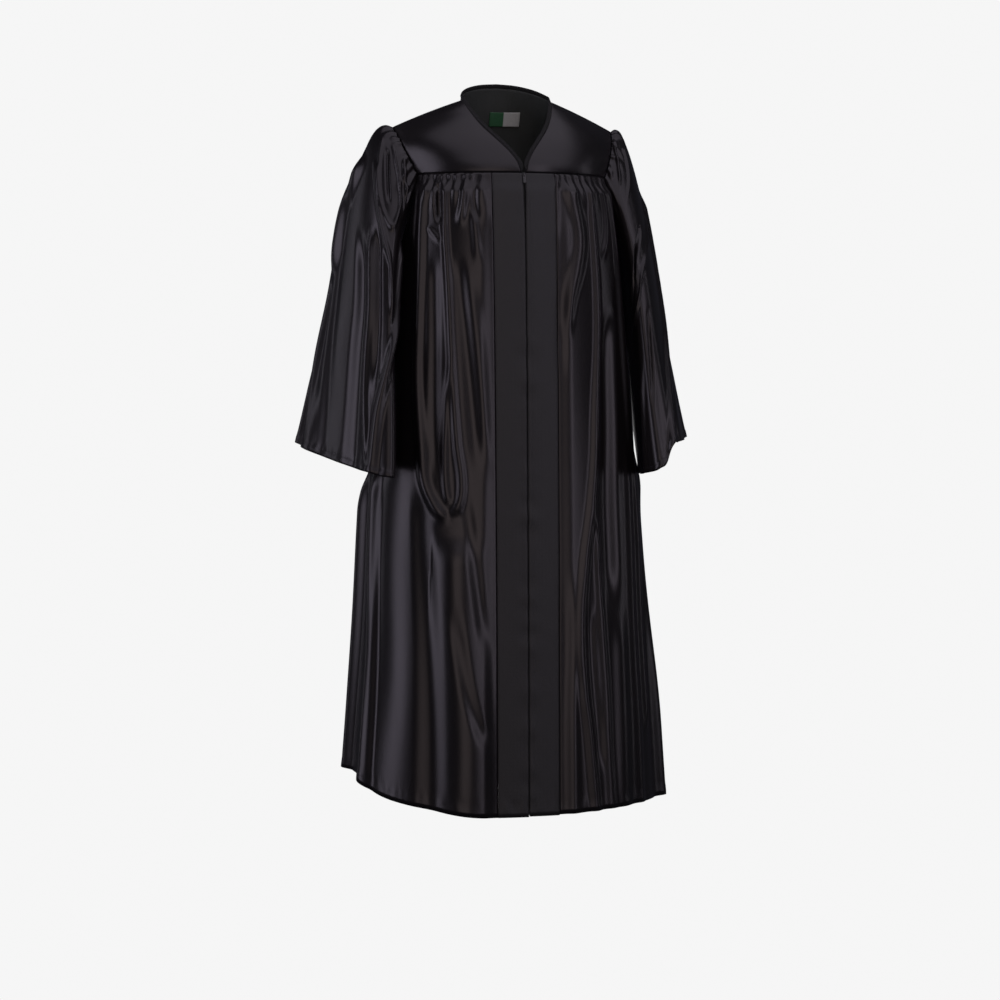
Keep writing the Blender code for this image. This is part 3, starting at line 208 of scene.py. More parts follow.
LEFT_FRONT_FOLDS = [
    Fold(
        (38, 38, 37, 35, 32, 30, 27, 24, 22, 22, 24, 26),
        (SEAM, -0.216, -0.322, -0.43, -0.536, -0.642, -0.738, -0.818, -0.922, -1.046, -1.134, -1.30),
        0.011, 0.013, 0.0060, 0.02, 0.00,
    ),
    Fold(
        (29, 30, 31, 32, 32, 33),
        (-0.704, -0.80, -0.924, -1.048, -1.154, -1.30),
        0.009, 0.013, 0.0040, 0.06, 0.00,
    ),
    Fold(
        (25, 28, 29, 26, 20, 17),
        (SEAM, -0.20, -0.252, -0.302, -0.368, -0.438),
        0.018, 0.016, 0.0060, 0.02, 0.06,
    ),
    Fold((16, 16, 14), (SEAM, -0.204, -0.264), 0.009, 0.011, 0.0035, 0.02, 0.03),
    Fold((50, 51, 48, 41), (-0.142, -0.20, -0.25, -0.294), 0.009, 0.011, 0.0040, 0.02, 0.03),
    Fold(
        (60, 60, 58, 55, 54, 55, 57, 58, 58, 58),
        (-0.138, -0.202, -0.276, -0.392, -0.508, -0.626, -0.752, -0.894, -1.038, -1.146),
        0.013, 0.018, 0.0060, 0.02, 0.06,
    ),
    Fold(
        (44, 40, 38, 36, 36, 35),
        (-0.358, -0.464, -0.588, -0.712, -0.854, -0.924),
        0.023, 0.025, -0.0100, 0.08, 0.10,
    ),
    Fold((26, 26, 27, 28), (-0.888, -0.994, -1.10, -1.196), 0.011, 0.013, -0.0040, 0.05, 0.04),
    Fold((18, 16, 15), (-0.332, -0.412, -0.508), 0.013, 0.013, -0.0040, 0.05, 0.06),
    Fold((51, 50, 50, 50, 49), (-0.59, -0.75, -0.928, -1.09, -1.30), 0.014, 0.018, 0.0040, 0.10, 0.00),
    Fold((20, 19, 17, 17), (-0.816, -0.958, -1.098, -1.30), 0.014, 0.016, 0.0030, 0.10, 0.00),
    Fold((41, 40, 38), (-0.89, -1.068, -1.30), 0.022, 0.025, 0.0050, 0.10, 0.00),
    Fold((13, 14, 12), (-0.816, -1.026, -1.30), 0.018, 0.022, -0.0030, 0.12, 0.00),
    Fold((69, 71, 73), (-0.38, -0.54, -0.76), 0.020, 0.026, 0.0130, 0.14, 0.20),
    Fold((75, 77, 76, 75), (-0.64, -0.85, -1.05, -1.30), 0.024, 0.042, 0.0200, 0.50, 0.00),
]
BACK_FOLDS = [
    Fold((96, 96, 97), (-0.66, -0.90, -1.30), 0.022, 0.032, 0.012, 0.12, 0.00),
    Fold((112, 112, 110), (-0.50, -0.90, -1.30), 0.024, 0.034, -0.010, 0.16, 0.00),
    Fold((121, 123, 125, 124), (SEAM, -0.30, -0.70, -1.30), 0.011, 0.030, 0.013, 0.03, 0.00),
    Fold((129, 130, 131), (SEAM, -0.22, -0.40), 0.009, 0.014, 0.008, 0.02, 0.14),
    Fold((136, 137, 138, 140), (-0.17, -0.34, -0.80, -1.30), 0.012, 0.030, -0.010, 0.05, 0.00),
    Fold((137, 140, 144), (SEAM, -0.22, -0.34), 0.009, 0.014, 0.008, 0.02, 0.12),
    Fold((145, 147, 152, 154), (SEAM, -0.30, -0.72, -1.30), 0.010, 0.030, 0.014, 0.03, 0.00),
    Fold((153, 154, 153), (SEAM, -0.21, -0.36), 0.009, 0.014, 0.008, 0.02, 0.12),
    Fold((161, 163, 167, 168), (-0.17, -0.36, -0.80, -1.30), 0.012, 0.030, -0.011, 0.05, 0.00),
    Fold((162, 163, 166), (SEAM, -0.23, -0.40), 0.009, 0.015, 0.007, 0.02, 0.14),
    Fold((170, 173, 177, 180), (SEAM, -0.30, -0.75, -1.30), 0.010, 0.030, 0.014, 0.03, 0.00),
    Fold((179, 180, 181), (SEAM, -0.21, -0.36), 0.009, 0.014, 0.008, 0.02, 0.12),
    Fold((188, 189, 193, 194), (-0.17, -0.36, -0.80, -1.30), 0.012, 0.028, -0.010, 0.05, 0.00),
    Fold((187, 186, 183), (SEAM, -0.23, -0.38), 0.009, 0.015, 0.007, 0.02, 0.14),
    Fold((196, 198, 205, 207), (SEAM, -0.30, -0.72, -1.30), 0.010, 0.032, 0.014, 0.03, 0.00),
    Fold((205, 206, 207), (SEAM, -0.22, -0.36), 0.009, 0.014, 0.008, 0.02, 0.12),
    Fold((213, 213, 216, 219), (-0.17, -0.36, -0.80, -1.30), 0.012, 0.030, -0.011, 0.05, 0.00),
    Fold((214, 213, 211), (SEAM, -0.22, -0.34), 0.009, 0.014, 0.007, 0.02, 0.12),
    Fold((223, 225, 230, 232), (SEAM, -0.32, -0.74, -1.30), 0.010, 0.032, 0.013, 0.03, 0.00),
    Fold((232, 232, 231), (SEAM, -0.22, -0.38), 0.009, 0.014, 0.008, 0.02, 0.14),
    Fold((240, 241, 244), (SEAM, -0.24, -0.44), 0.010, 0.018, 0.009, 0.03, 0.16),
    Fold((244, 246, 247), (-0.50, -0.90, -1.30), 0.022, 0.032, -0.010, 0.16, 0.00),
    Fold((259, 260, 260), (-0.62, -0.90, -1.30), 0.026, 0.038, 0.018, 0.12, 0.00),
]

# The sleeve's girth and length, about, which its folds' widths are measured by
SLEEVE_ROUND = 0.62
SLEEVE_LENGTH = 0.60
# A sleeve of the +X side. Round its tube 0 is over the shoulder, 90 in front, 180 at the
# underarm and 270 behind; along it 0 is the armhole and 1 the cuff
CUFF_CENTRE = (0.2980, -0.0180)
CUFF_INWARDS = {-1: 0.0, 1: 0.0110}
CUFF_HALF_WIDTH = {-1: 0.0390, 1: 0.0422}
CUFF_HALF_DEPTH = 0.1540
CUFF_TURN = 18.5
# The cuff's height round each sleeve; the left one steps down where its front fold ends
CuffRow = namedtuple("CuffRow", "turn right left")
CUFF_ROWS = [
    CuffRow(0, -0.638, -0.607),
    CuffRow(45, -0.659, -0.611),
    CuffRow(62, -0.665, -0.615),
    CuffRow(72, -0.667, -0.643),
    CuffRow(90, -0.669, -0.656),
    CuffRow(120, -0.666, -0.664),
    CuffRow(150, -0.656, -0.668),
    CuffRow(180, -0.642, -0.663),
    CuffRow(225, -0.621, -0.640),
    CuffRow(270, -0.611, -0.612),
    CuffRow(315, -0.618, -0.603),
    CuffRow(360, -0.638, -0.607),
]
SLEEVE_OUT = {-1: 1.08, 1: 0.70}
SLEEVE_LEAVES = {
    "over": (0.2300, 0.0500, 0.1300),
    "front": (0.1900, -0.1500, -0.3000),
    "under": (0.0550, 0.0000, -0.2700),
    "back": (0.1700, 0.1500, -0.3000),
}
SLEEVE_ARRIVES = {
    "over": (0.0900, -0.1400, -0.5600),
    "front": (0.0450, -0.1200, -0.5000),
    "under": (0.0400, -0.0400, -0.3600),
    "back": (0.1400, -0.0300, -0.4600),
}
SleeveFold = namedtuple("SleeveFold", "turns along width_top width_foot lift fade_top fade_foot")
RIGHT_SLEEVE_FOLDS = [
    SleeveFold(
        (2, -5, -14, -19, -36, -38, -33, -29),
        (0.24, 0.33, 0.42, 0.50, 0.60, 0.72, 0.86, 1.05),
        0.023, 0.031, 0.0120, 0.05, 0.00,
    ),
    SleeveFold((23, 31, 30, 29, 27), (0.42, 0.59, 0.70, 0.82, 1.05), 0.018, 0.025, -0.0090, 0.06, 0.00),
    SleeveFold((36, 44, 42, 42, 49), (0.38, 0.56, 0.69, 0.81, 1.05), 0.009, 0.011, 0.0050, 0.05, 0.00),
    SleeveFold((47, 55, 55, 52), (0.35, 0.54, 0.67, 0.80), 0.014, 0.014, -0.0080, 0.04, 0.08),
    SleeveFold((23, 38, 56, 78, 87), (0.21, 0.29, 0.35, 0.41, 0.53), 0.013, 0.018, 0.0060, 0.02, 0.05),
    SleeveFold(
        (100, 108, 111, 111, 92, 69, 60, 52),
        (0.14, 0.22, 0.34, 0.44, 0.57, 0.75, 0.85, 1.05),
        0.016, 0.018, 0.0100, 0.06, 0.00,
    ),
    SleeveFold(
        (17, 28, 40, 54, 66, 70, 61, 44, 29),
        (0.11, 0.20, 0.27, 0.30, 0.28, 0.20, 0.14, 0.10, 0.07),
        0.007, 0.007, 0.0045, 0.02, 0.02,
    ),
    SleeveFold((29, 45, 55), (0.12, 0.20, 0.25), 0.007, 0.009, -0.0060, 0.01, 0.02),
    SleeveFold((46, 65, 89), (0.03, 0.10, 0.14), 0.009, 0.011, 0.0040, 0.02, 0.04),
    SleeveFold((350, 345, 342), (0.00, 0.35, 1.05), 0.010, 0.024, 0.007, 0.03, 0.00),
    SleeveFold((318, 308, 300), (0.04, 0.45, 1.05), 0.010, 0.026, 0.009, 0.04, 0.00),
    SleeveFold((280, 272, 268), (0.10, 0.50, 1.05), 0.012, 0.026, 0.008, 0.08, 0.00),
    SleeveFold((298, 290, 284), (0.20, 0.55, 1.05), 0.012, 0.022, -0.007, 0.10, 0.00),
]
LEFT_SLEEVE_FOLDS = [
    SleeveFold(
        (12, 12, 13, 18, 31, 47, 66),
        (0.35, 0.45, 0.54, 0.66, 0.74, 0.85, 1.05),
        0.014, 0.016, 0.0070, 0.04, 0.00,
    ),
    SleeveFold((3, 12, 34, 40), (0.70, 0.81, 0.92, 1.05), 0.011, 0.011, -0.0050, 0.06, 0.00),
    SleeveFold((45, 61, 94, 127), (0.38, 0.38, 0.36, 0.36), 0.011, 0.011, -0.0120, 0.01, 0.04),
    SleeveFold((11, 32, 60, 99, 132), (0.40, 0.45, 0.46, 0.45, 0.46), 0.009, 0.011, 0.0040, 0.04, 0.05),
    SleeveFold((64, 74, 90), (0.55, 0.65, 0.81), 0.013, 0.016, -0.0050, 0.05, 0.08),
    SleeveFold((102, 116, 131), (0.59, 0.74, 1.05), 0.014, 0.018, 0.0040, 0.08, 0.00),
    SleeveFold((23, 37, 61), (0.12, 0.20, 0.23), 0.007, 0.009, 0.0050, 0.01, 0.03),
    SleeveFold((23, 45, 60), (0.01, 0.08, 0.15), 0.007, 0.009, 0.0050, 0.01, 0.03),
    SleeveFold((352, 344, 340), (0.00, 0.40, 1.05), 0.010, 0.024, 0.007, 0.03, 0.00),
    SleeveFold((322, 312, 304), (0.04, 0.45, 1.05), 0.010, 0.026, 0.009, 0.04, 0.00),
    SleeveFold((284, 276, 270), (0.10, 0.50, 1.05), 0.012, 0.026, 0.008, 0.08, 0.00),
]

LABEL_GREEN_SHARE = 0.475
SATIN_GLOSS = 0.62
SATIN_ROUGH = 0.26
SATIN_SMUDGE = 0.08
BAND_GLOSS = 0.60
BAND_ROUGH = 0.46

# The studio
FLOOR_HEIGHT = -1.4500
FLOOR_RADIUS = 40.0
CAMERA_AZIMUTH = -15.0
CAMERA_DISTANCE = 5.5
CAMERA_HEIGHT = -0.5
AIM_HEIGHT = -0.716
AIM_RIGHT = -0.0117
LENS = 110.0
WORLD_LIGHT = 0.03
# Each lamp stands round the gown, looks at its middle line at a height, and glows evenly
Lamp = namedtuple("Lamp", "name azimuth away height aim wide tall glow colour")
LAMPS = [
    Lamp("left_softbox", -80, 3.4, 0.0, -0.6, 1.5, 3.4, 1.50, (0.88, 0.83, 0.98)),
    Lamp("left_rim_softbox", -128, 4.0, 0.0, -0.6, 0.6, 3.0, 0.90, (0.90, 0.86, 0.98)),
    Lamp("right_softbox", 29, 3.8, 0.0, -0.6, 0.9, 3.6, 1.35, (0.93, 0.85, 0.97)),
    Lamp("far_right_softbox", 80, 3.8, 0.0, -0.6, 0.4, 3.0, 1.20, (0.93, 0.88, 0.98)),
    Lamp("front_softbox", -13, 7.0, 0.0, -0.6, 4.0, 5.0, 0.68, (1.00, 0.85, 0.82)),
    Lamp("top_softbox", 20, 1.4, 2.8, 0.0, 5.4, 5.0, 0.60, (0.92, 0.86, 0.98)),
    Lamp("back_softbox", 175, 4.5, 0.0, -0.6, 1.6, 3.0, 0.45, (1.00, 1.00, 1.00)),
]

# How finely each piece is drawn
FRONT_COLUMNS = 76
ARMHOLE_COLUMNS = 26
BACK_COLUMNS = 132
PANEL_ROWS = 180
YOKE_COLUMNS = 60
YOKE_ROWS = 36
BAND_COLUMNS = 22
RING_YOKE = 46
RING_LOWER = 50
SLEEVE_ROWS = 118
ROW_CROWDING = 1.45
SLEEVE_CROWDING = 1.15

# Rows at a panel's top edge tuck in under the yoke, and rows at its hem turn up inside.
# Each gives its share of the way down, how much higher it lies, and how far in
PanelRow = namedtuple("PanelRow", "share higher inside")
TOP_ROWS = [
    PanelRow(0.0, 0.0060, 0.0030),
    PanelRow(0.0, 0.0012, 0.0028),
    PanelRow(0.0, 0.0000, 0.0014),
    PanelRow(0.0, -0.0010, 0.0005),
    PanelRow(0.0, -0.0022, 0.0001),
]
HEM_ROWS = [
    PanelRow(1.0, 0.0002, 0.0009),
    PanelRow(1.0, 0.0020, 0.0017),
    PanelRow(1.0, 0.0090, 0.0018),
    PanelRow(1.0, HEM_TURN, 0.0018),
]


def smooth_step(value):
    """0 below 0, 1 above 1, and an S curve between."""
    value = np.clip(value, 0.0, 1.0)
    return value * value * (3.0 - 2.0 * value)


def through(keys, rows, at):
    """A smooth curve through rows of values, read at any key."""
    keys = np.asarray(keys, float)
    rows = np.asarray(rows, float)
    slopes = np.gradient(rows, keys, axis=0)
    at = np.clip(np.asarray(at, float), keys[0], keys[-1])
    left = np.clip(np.searchsorted(keys, at, side="right") - 1, 0, len(keys) - 2)
    span = keys[left + 1] - keys[left]
    s = (at - keys[left]) / span
    if rows.ndim == 2:
        s = s[..., None]
        span = span[..., None]
    start = (1 + 2 * s) * (1 - s) ** 2 * rows[left] + s * (1 - s) ** 2 * span * slopes[left]
    end = s * s * (3 - 2 * s) * rows[left + 1] - s * s * (1 - s) * span * slopes[left + 1]
    return start + end


def blended(first, second, share):
    """Between two values or points, by a share from 0 to 1."""
    return first + (second - first) * share


def section_at(height):
    """The plain form's half width, front, back, middle and boxiness at a height."""
    depths = [-row.height for row in BODY]
    rows = [row[1:] for row in BODY]
    return np.moveaxis(through(depths, rows, -np.asarray(height, float)), -1, 0)


def hem_height(angle):
    """The hem's height at an angle."""
    wrapped = (np.asarray(angle, float) + 180.0) % 360.0 - 180.0
    return through([row.angle for row in HEM], [row.height for row in HEM], wrapped)


def armhole_height(angle):
    """The height of the armhole's lower half at an angle between the two yoke corners."""
    in_front = angle < 90.0
    before = (90.0 - angle) / (90.0 - ARMHOLE_FRONT)
    behind = (angle - 90.0) / (ARMHOLE_BACK - 90.0)
    away = np.where(in_front, before, behind)
    corner = np.where(in_front, YOKE_SEAM_FRONT, YOKE_SEAM_BACK)
    return blended(corner, UNDERARM, np.sqrt(1.0 - np.clip(away, 0.0, 1.0) ** 2))


def fold_distance(across, height, fold_across, fold_height):
    """How far each point is from a fold's path, and how far along the path that is."""
    start = np.stack([fold_across[:-1], fold_height[:-1]], -1)
    step = np.stack([np.diff(fold_across), np.diff(fold_height)], -1)
    length = np.linalg.norm(step, axis=-1)
    before = np.concatenate([[0.0], np.cumsum(length)[:-1]])
    away = np.stack([across, height], -1)[:, None, :] - start[None]
    share = np.clip((away * step).sum(-1) / length**2, 0.0, 1.0)
    distance = np.linalg.norm(away - share[..., None] * step, axis=-1)
    nearest = distance.argmin(axis=1)
    rows = np.arange(len(nearest))
    along = (before + share * length)[rows, nearest]
    return distance[rows, nearest], along, length.sum()


def fold_lift(fold, across, height, fold_across, fold_height):
    """How far a fold moves each point outwards."""
    distance, along, total = fold_distance(across, height, fold_across, fold_height)
    width = blended(fold.width_top, fold.width_foot, along / total)
    crest = 0.5 + 0.5 * np.cos(np.pi * np.clip(distance / width, 0.0, 1.0))
    top = smooth_step(along / fold.fade_top) if fold.fade_top else 1.0
    foot = smooth_step((total - along) / fold.fade_foot) if fold.fade_foot else 1.0
    return fold.lift * crest * top * foot


def metres_per_degree(height):
    """The surface distance of one degree round the body, about."""
    half_width, front, back, middle, boxiness = section_at(height)
    return np.radians(0.5 * (half_width + 0.5 * (back - front)))


def edge_share(angle, height):
    """Less lift beside the seams, on the bands, and under the sleeves where the body is pressed flat."""
    scale = metres_per_degree(height)
    seam = np.where(np.abs(angle) < 90.0, YOKE_SEAM_FRONT, YOKE_SEAM_BACK)
    folded = np.where(angle > 180.0, 360.0 - angle, np.abs(angle))
    beside = (folded > ARMHOLE_FRONT) & (folded < ARMHOLE_BACK)
    edge = np.where(beside, armhole_height(folded), seam)
    below = smooth_step((edge - TOP_STITCH - height) / 0.030)
    band = angle_at(BAND_WIDTH, height)
    off_band = 0.30 + 0.70 * smooth_step((folded - band) * scale / 0.022)
    under_arm = smooth_step((folded - 56.0) / 14.0) * smooth_step((130.0 - folded) / 14.0)
    pressed = under_arm * smooth_step((height + 0.70) / 0.08)
    return below * off_band * (1.0 - 0.85 * pressed)


def angle_at(across, height):
    """The angle of a point this far across from the centre front."""
    half_width = section_at(height)[0]
    return np.degrees(np.arcsin(np.clip(across / half_width, -1.0, 1.0)))


def plain_point(angle, height):
    """A point of the plain form."""
    half_width, front, back, middle, boxiness = section_at(height)
    turn = np.radians(angle)
    depth = np.where(np.cos(turn) > 0, middle - front, back - middle)
    reach = 1.0 - boxiness * np.cos(4.0 * turn)
    x = half_width * reach * np.sin(turn)
    y = middle - depth * reach * np.cos(turn)
    return np.stack([x, y, height + 0.0 * x], -1)


def outward(angle, height):
    """The level direction straight out of the plain form."""
    half_width, front, back, middle, boxiness = section_at(height)
    turn = np.radians(angle)
    depth = np.where(np.cos(turn) > 0, middle - front, back - middle)
    way = np.stack([np.sin(turn) / half_width, -np.cos(turn) / depth, 0.0 * turn], -1)
    return way / np.linalg.norm(way, axis=-1, keepdims=True)


def uneven(points, seed, level_lengths, down_lengths, count=12):
    """A soft unevenness of cloth, from waves of many lengths: one number for each point."""
    chance = np.random.default_rng(seed)
    total = np.zeros(len(points))
    for _ in range(count):
        level = 2 * pi / chance.uniform(*level_lengths)
        turn = chance.uniform(0.0, 2 * pi)
        down = 2 * pi / chance.uniform(*down_lengths) * chance.choice([-1.0, 1.0])
        way = np.array([level * np.cos(turn), level * np.sin(turn), down])
        total += np.sin(points @ way + chance.uniform(0.0, 2 * pi))
    return total / np.sqrt(count)


def small_gathers(first, last, count, top, seed, lift):
    """Short gathers of uneven length, width and place between two angles of a seam."""
    chance = np.random.default_rng(seed)
    gaps = chance.uniform(0.5, 1.5, count + 1)
    places = first + (last - first) * np.cumsum(gaps)[:-1] / gaps.sum()
    made = []
    for start in places:
        lean = chance.uniform(-2.2, 2.2)
        length = chance.uniform(0.035, 0.115)
        angles = (start, start + 0.4 * lean, start + lean)
        heights = (top, top - 0.4 * length, top - length)
        foot = chance.uniform(0.009, 0.014)
        rise = lift * chance.uniform(0.5, 1.3)
        made.append(Fold(angles, heights, GATHER_HALF, foot, rise, 0.003, 0.7 * length))
    return made


SMALL_GATHERS = [
    *small_gathers(-66.0, -18.0, 9, YOKE_SEAM_FRONT, 4, 0.0030),
    *small_gathers(14.0, 66.0, 10, YOKE_SEAM_FRONT, 9, 0.0030),
    *small_gathers(119.0, 241.0, 26, YOKE_SEAM_BACK, 15, 0.0032),
]


def lift_of(folds, angle, height):
    """How far these folds move each point outwards."""
    lift = np.zeros_like(angle)
    scale = metres_per_degree(height)
    for turned in (angle, angle - 360.0, angle + 360.0):
        for fold in folds:
            half = 0.5 * (max(fold.angles) - min(fold.angles)) + 10.0
            near = np.abs(turned - 0.5 * (max(fold.angles) + min(fold.angles))) < half
            near &= height < max(fold.heights) + 0.03
            near &= height > min(fold.heights) - 0.05
            if not near.any():
                continue
            keys = range(len(fold.angles))
            steps = np.linspace(0.0, len(fold.angles) - 1.0, 6 * len(fold.angles))
            path_angle = through(keys, fold.angles, steps)
            path_height = through(keys, fold.heights, steps)
            path_across = path_angle * metres_per_degree(path_height)
            lift[near] += fold_lift(
                fold, (turned * scale)[near], height[near], path_across, path_height
            )
    return lift


def body_lift(angle, height):
    """How far the folds, gathers, hem and slit move each point of the body outwards."""
    angle = np.where(angle < -95.0, angle + 360.0, angle)
    plain = plain_point(angle, height)
    fullness = FRONT_FULLNESS * smooth_step((YOKE_SEAM_FRONT - TOP_STITCH - height) / 0.03)
    main = fullness + lift_of(RIGHT_FRONT_FOLDS + LEFT_FRONT_FOLDS + BACK_FOLDS, angle, height)
    main += BODY_UNEVEN * uneven(plain, 3, (0.09, 0.24), (0.30, 0.90))
    lift = main * edge_share(angle, height)
    folded = np.where(angle > 180.0, 360.0 - angle, np.abs(angle))
    seam = np.where(folded < 90.0, YOKE_SEAM_FRONT, YOKE_SEAM_BACK)
    lift += lift_of(SMALL_GATHERS, angle, height) * smooth_step((seam - height) / 0.005)
    above_hem = height - hem_height(angle)
    puckered = np.exp(-(((above_hem - HEM_TURN) / 0.008) ** 2))
    lift += 0.0006 * puckered * uneven(plain, 11, (0.012, 0.030), (0.05, 0.12))
    lift += 0.0005 * smooth_step((HEM_TURN - above_hem) / 0.002)
    beside_slit = np.exp(-((plain[:, 0] / 0.016) ** 2)) * smooth_step((-0.30 - height) / 0.2)
    front = folded < 30.0
    lift += np.where(front, 0.0007 * beside_slit * uneven(plain, 21, (0.2, 0.4), (0.03, 0.10)), 0.0)
    return lift


def body_point(angle, height, inside=0.0):
    """A point of the body's cloth with its folds, or so far inside it."""
    angle, height, inside = np.broadcast_arrays(
        np.asarray(angle, float), np.asarray(height, float), np.asarray(inside, float)
    )
    flat_angle = angle.ravel()
    flat_height = height.ravel()
    out = (body_lift(flat_angle, flat_height) - inside.ravel())[:, None]
    points = plain_point(flat_angle, flat_height) + out * outward(flat_angle, flat_height)
    return points.reshape(angle.shape + (3,))


def panel_rows():
    """Every row of a panel: under the yoke, down to the hem, and up inside it."""
    foot = TOP_ROWS[-1].higher
    shares = np.linspace(0.0, 1.0, PANEL_ROWS)[1:] ** ROW_CROWDING
    main = [PanelRow(share, foot * (1.0 - share), 0.0) for share in shares]
    return np.array(TOP_ROWS + main + HEM_ROWS)


PANEL_TABLE = panel_rows()


def row_at(v, top, hem):
    """The height and the inset of a panel's points, from their share of its rows."""
    row = PANEL_TABLE[np.rint(v * (len(PANEL_TABLE) - 1)).astype(int)]
    return blended(top, hem, row[:, 0]) + row[:, 1], row[:, 2]


def front_place(side):
    """Puts a front panel's grid in place, from its band to its side seam."""

    def place(u, v):
        corner = FRONT_COLUMNS / (FRONT_COLUMNS + ARMHOLE_COLUMNS)
        on_yoke = np.clip(u / corner, 0.0, 1.0)
        past = np.clip((u - corner) / (1.0 - corner), 0.0, 1.0)
        top_angle = 90.0 - (90.0 - ARMHOLE_FRONT) * np.cos(0.5 * np.pi * past)
        even_angle = blended(ARMHOLE_FRONT, 90.0, past)
        top = np.where(past > 0, armhole_height(top_angle), YOKE_SEAM_FRONT)
        hem = hem_height(side * blended(angle_at(BAND_WIDTH, HEM[8].height), even_angle, on_yoke))
        height, inside = row_at(v, top, hem)
        band = angle_at(BAND_WIDTH, height)
        spread = smooth_step((top - height) / SPREAD_DEPTH)
        outer = blended(top_angle, even_angle, spread)
        angle = np.where(past > 0, outer, blended(band, ARMHOLE_FRONT, on_yoke))
        angle = np.minimum(angle, 90.0 - SIDE_SEAM_SHORT)
        inside = inside + 0.0009 * np.exp(-(((angle - band) * 0.004 / 0.0016) ** 2))
        return body_point(side * angle, height, inside)

    return place


def back_place(u, v):
    """Puts the back panel's grid in place, from one side seam to the other."""
    edge = ARMHOLE_COLUMNS / (BACK_COLUMNS + 2 * ARMHOLE_COLUMNS)
    half = np.minimum(u, 1.0 - u)
    past = np.clip((edge - half) / edge, 0.0, 1.0)
    on_yoke = np.clip((half - edge) / (0.5 - edge), 0.0, 1.0)
    top_angle = 90.0 + (ARMHOLE_BACK - 90.0) * np.cos(0.5 * np.pi * past)
    even_angle = blended(ARMHOLE_BACK, 90.0, past)
    top = np.where(past > 0, armhole_height(top_angle), YOKE_SEAM_BACK)
    side_angle = np.where(past > 0, even_angle, blended(ARMHOLE_BACK, 180.0, on_yoke))
    hem = hem_height(np.where(u < 0.5, side_angle, -side_angle))
    height, inside = row_at(v, top, hem)
    spread = smooth_step((top - height) / SPREAD_DEPTH)
    outer = blended(top_angle, even_angle, spread)
    angle = np.where(past > 0, outer, blended(ARMHOLE_BACK, 180.0, on_yoke))
    angle = np.maximum(angle, 90.0 + SIDE_SEAM_SHORT)
    return body_point(np.where(u < 0.5, angle, 360.0 - angle), height, inside)


def slit_half(height):
    """Half of the gap between the two bands, which opens a little at the top of the zip."""
    return blended(SLIT_HALF, SLIT_HALF_TOP, smooth_step((height - SLIT_OPEN_TO) / 0.06))


def band_place(side):
    """Puts a band's grid in place, from the zip to the front panel, its long edges rolled in."""

    def place(u, v):
        hem = hem_height(side * angle_at(0.5 * BAND_WIDTH, HEM[8].height))
        height, inside = row_at(v, YOKE_SEAM_FRONT, hem)
        across = blended(slit_half(height), BAND_WIDTH, 0.5 - 0.5 * np.cos(np.pi * u))
        inner = np.exp(-(((across - slit_half(height)) / 0.0011) ** 2))
        outer = np.exp(-(((across - BAND_WIDTH) / 0.0008) ** 2))
        inside = inside + 0.0016 * inner + 0.0007 * outer
        return body_point(side * angle_at(across, height), height, inside)

    return place


def patch(low, high, near, far, a, b):
    """A smooth patch between four edges, each a function of the share along it."""
    a3 = a[..., None]
    b3 = b[..., None]
    zero = np.zeros_like(a)
    one = np.ones_like(a)
    across = (1 - b3) * low(a) + b3 * high(a)
    up = (1 - a3) * near(b) + a3 * far(b)
    corners = (1 - a3) * (1 - b3) * low(zero) + a3 * (1 - b3) * low(one)
    corners = corners + (1 - a3) * b3 * high(zero) + a3 * b3 * high(one)
    return across + up - corners


def bowed(start, end, bow, share):
    """A line from start to end that bows out by the third vector halfway."""
    share = share[..., None]
    line = blended(np.array(start), np.array(end), share)
    return line + 4 * share * (1 - share) * np.array(bow)


def neck_point(share):
    """The neckline on the +X side: 0 at the foot of the V, 1 at the nape."""
    rows = np.array(NECKLINE)
    keys = np.concatenate([[0.0], np.cumsum(np.linalg.norm(np.diff(rows, axis=0), axis=1))])
    return through(keys / keys[-1], rows, share)


def neck_side_share():
    """How far along the neckline its side neck point is."""
    steps = np.linalg.norm(np.diff(np.array(NECKLINE), axis=0), axis=1)
    return steps[:NECK_SIDE].sum() / steps.sum()


def front_corner():
    """Where the front yoke seam meets the armhole."""
    return plain_point(ARMHOLE_FRONT, YOKE_SEAM_FRONT)


def back_corner():
    """Where the back yoke seam meets the armhole."""
    return plain_point(ARMHOLE_BACK, YOKE_SEAM_BACK)


def front_yoke_point(a, b):
    """The front yoke on +X: a from the neck to the armhole, b from the seam to the shoulder."""
    side = neck_side_share()
    start = angle_at(NECKLINE[0].x, YOKE_SEAM_FRONT)

    def low(share):
        return plain_point(blended(start, ARMHOLE_FRONT, share), YOKE_SEAM_FRONT)

    def high(share):
        return bowed(NECKLINE[NECK_SIDE], SHOULDER_TIP, SHOULDER_BOW, share)

    def near(share):
        to_seam = low(0.0 * share) - neck_point(0.0 * share)
        return neck_point(share * side) + to_seam * (1 - share[..., None])

    def far(share):
        return bowed(front_corner(), SHOULDER_TIP, ARMHOLE_FRONT_BOW, share)

    bulge = YOKE_BULGE * 16 * (a * (1 - a) * b * (1 - b))[..., None]
    return patch(low, high, near, far, a, b) + bulge * np.array([0.0, -0.75, 0.65])


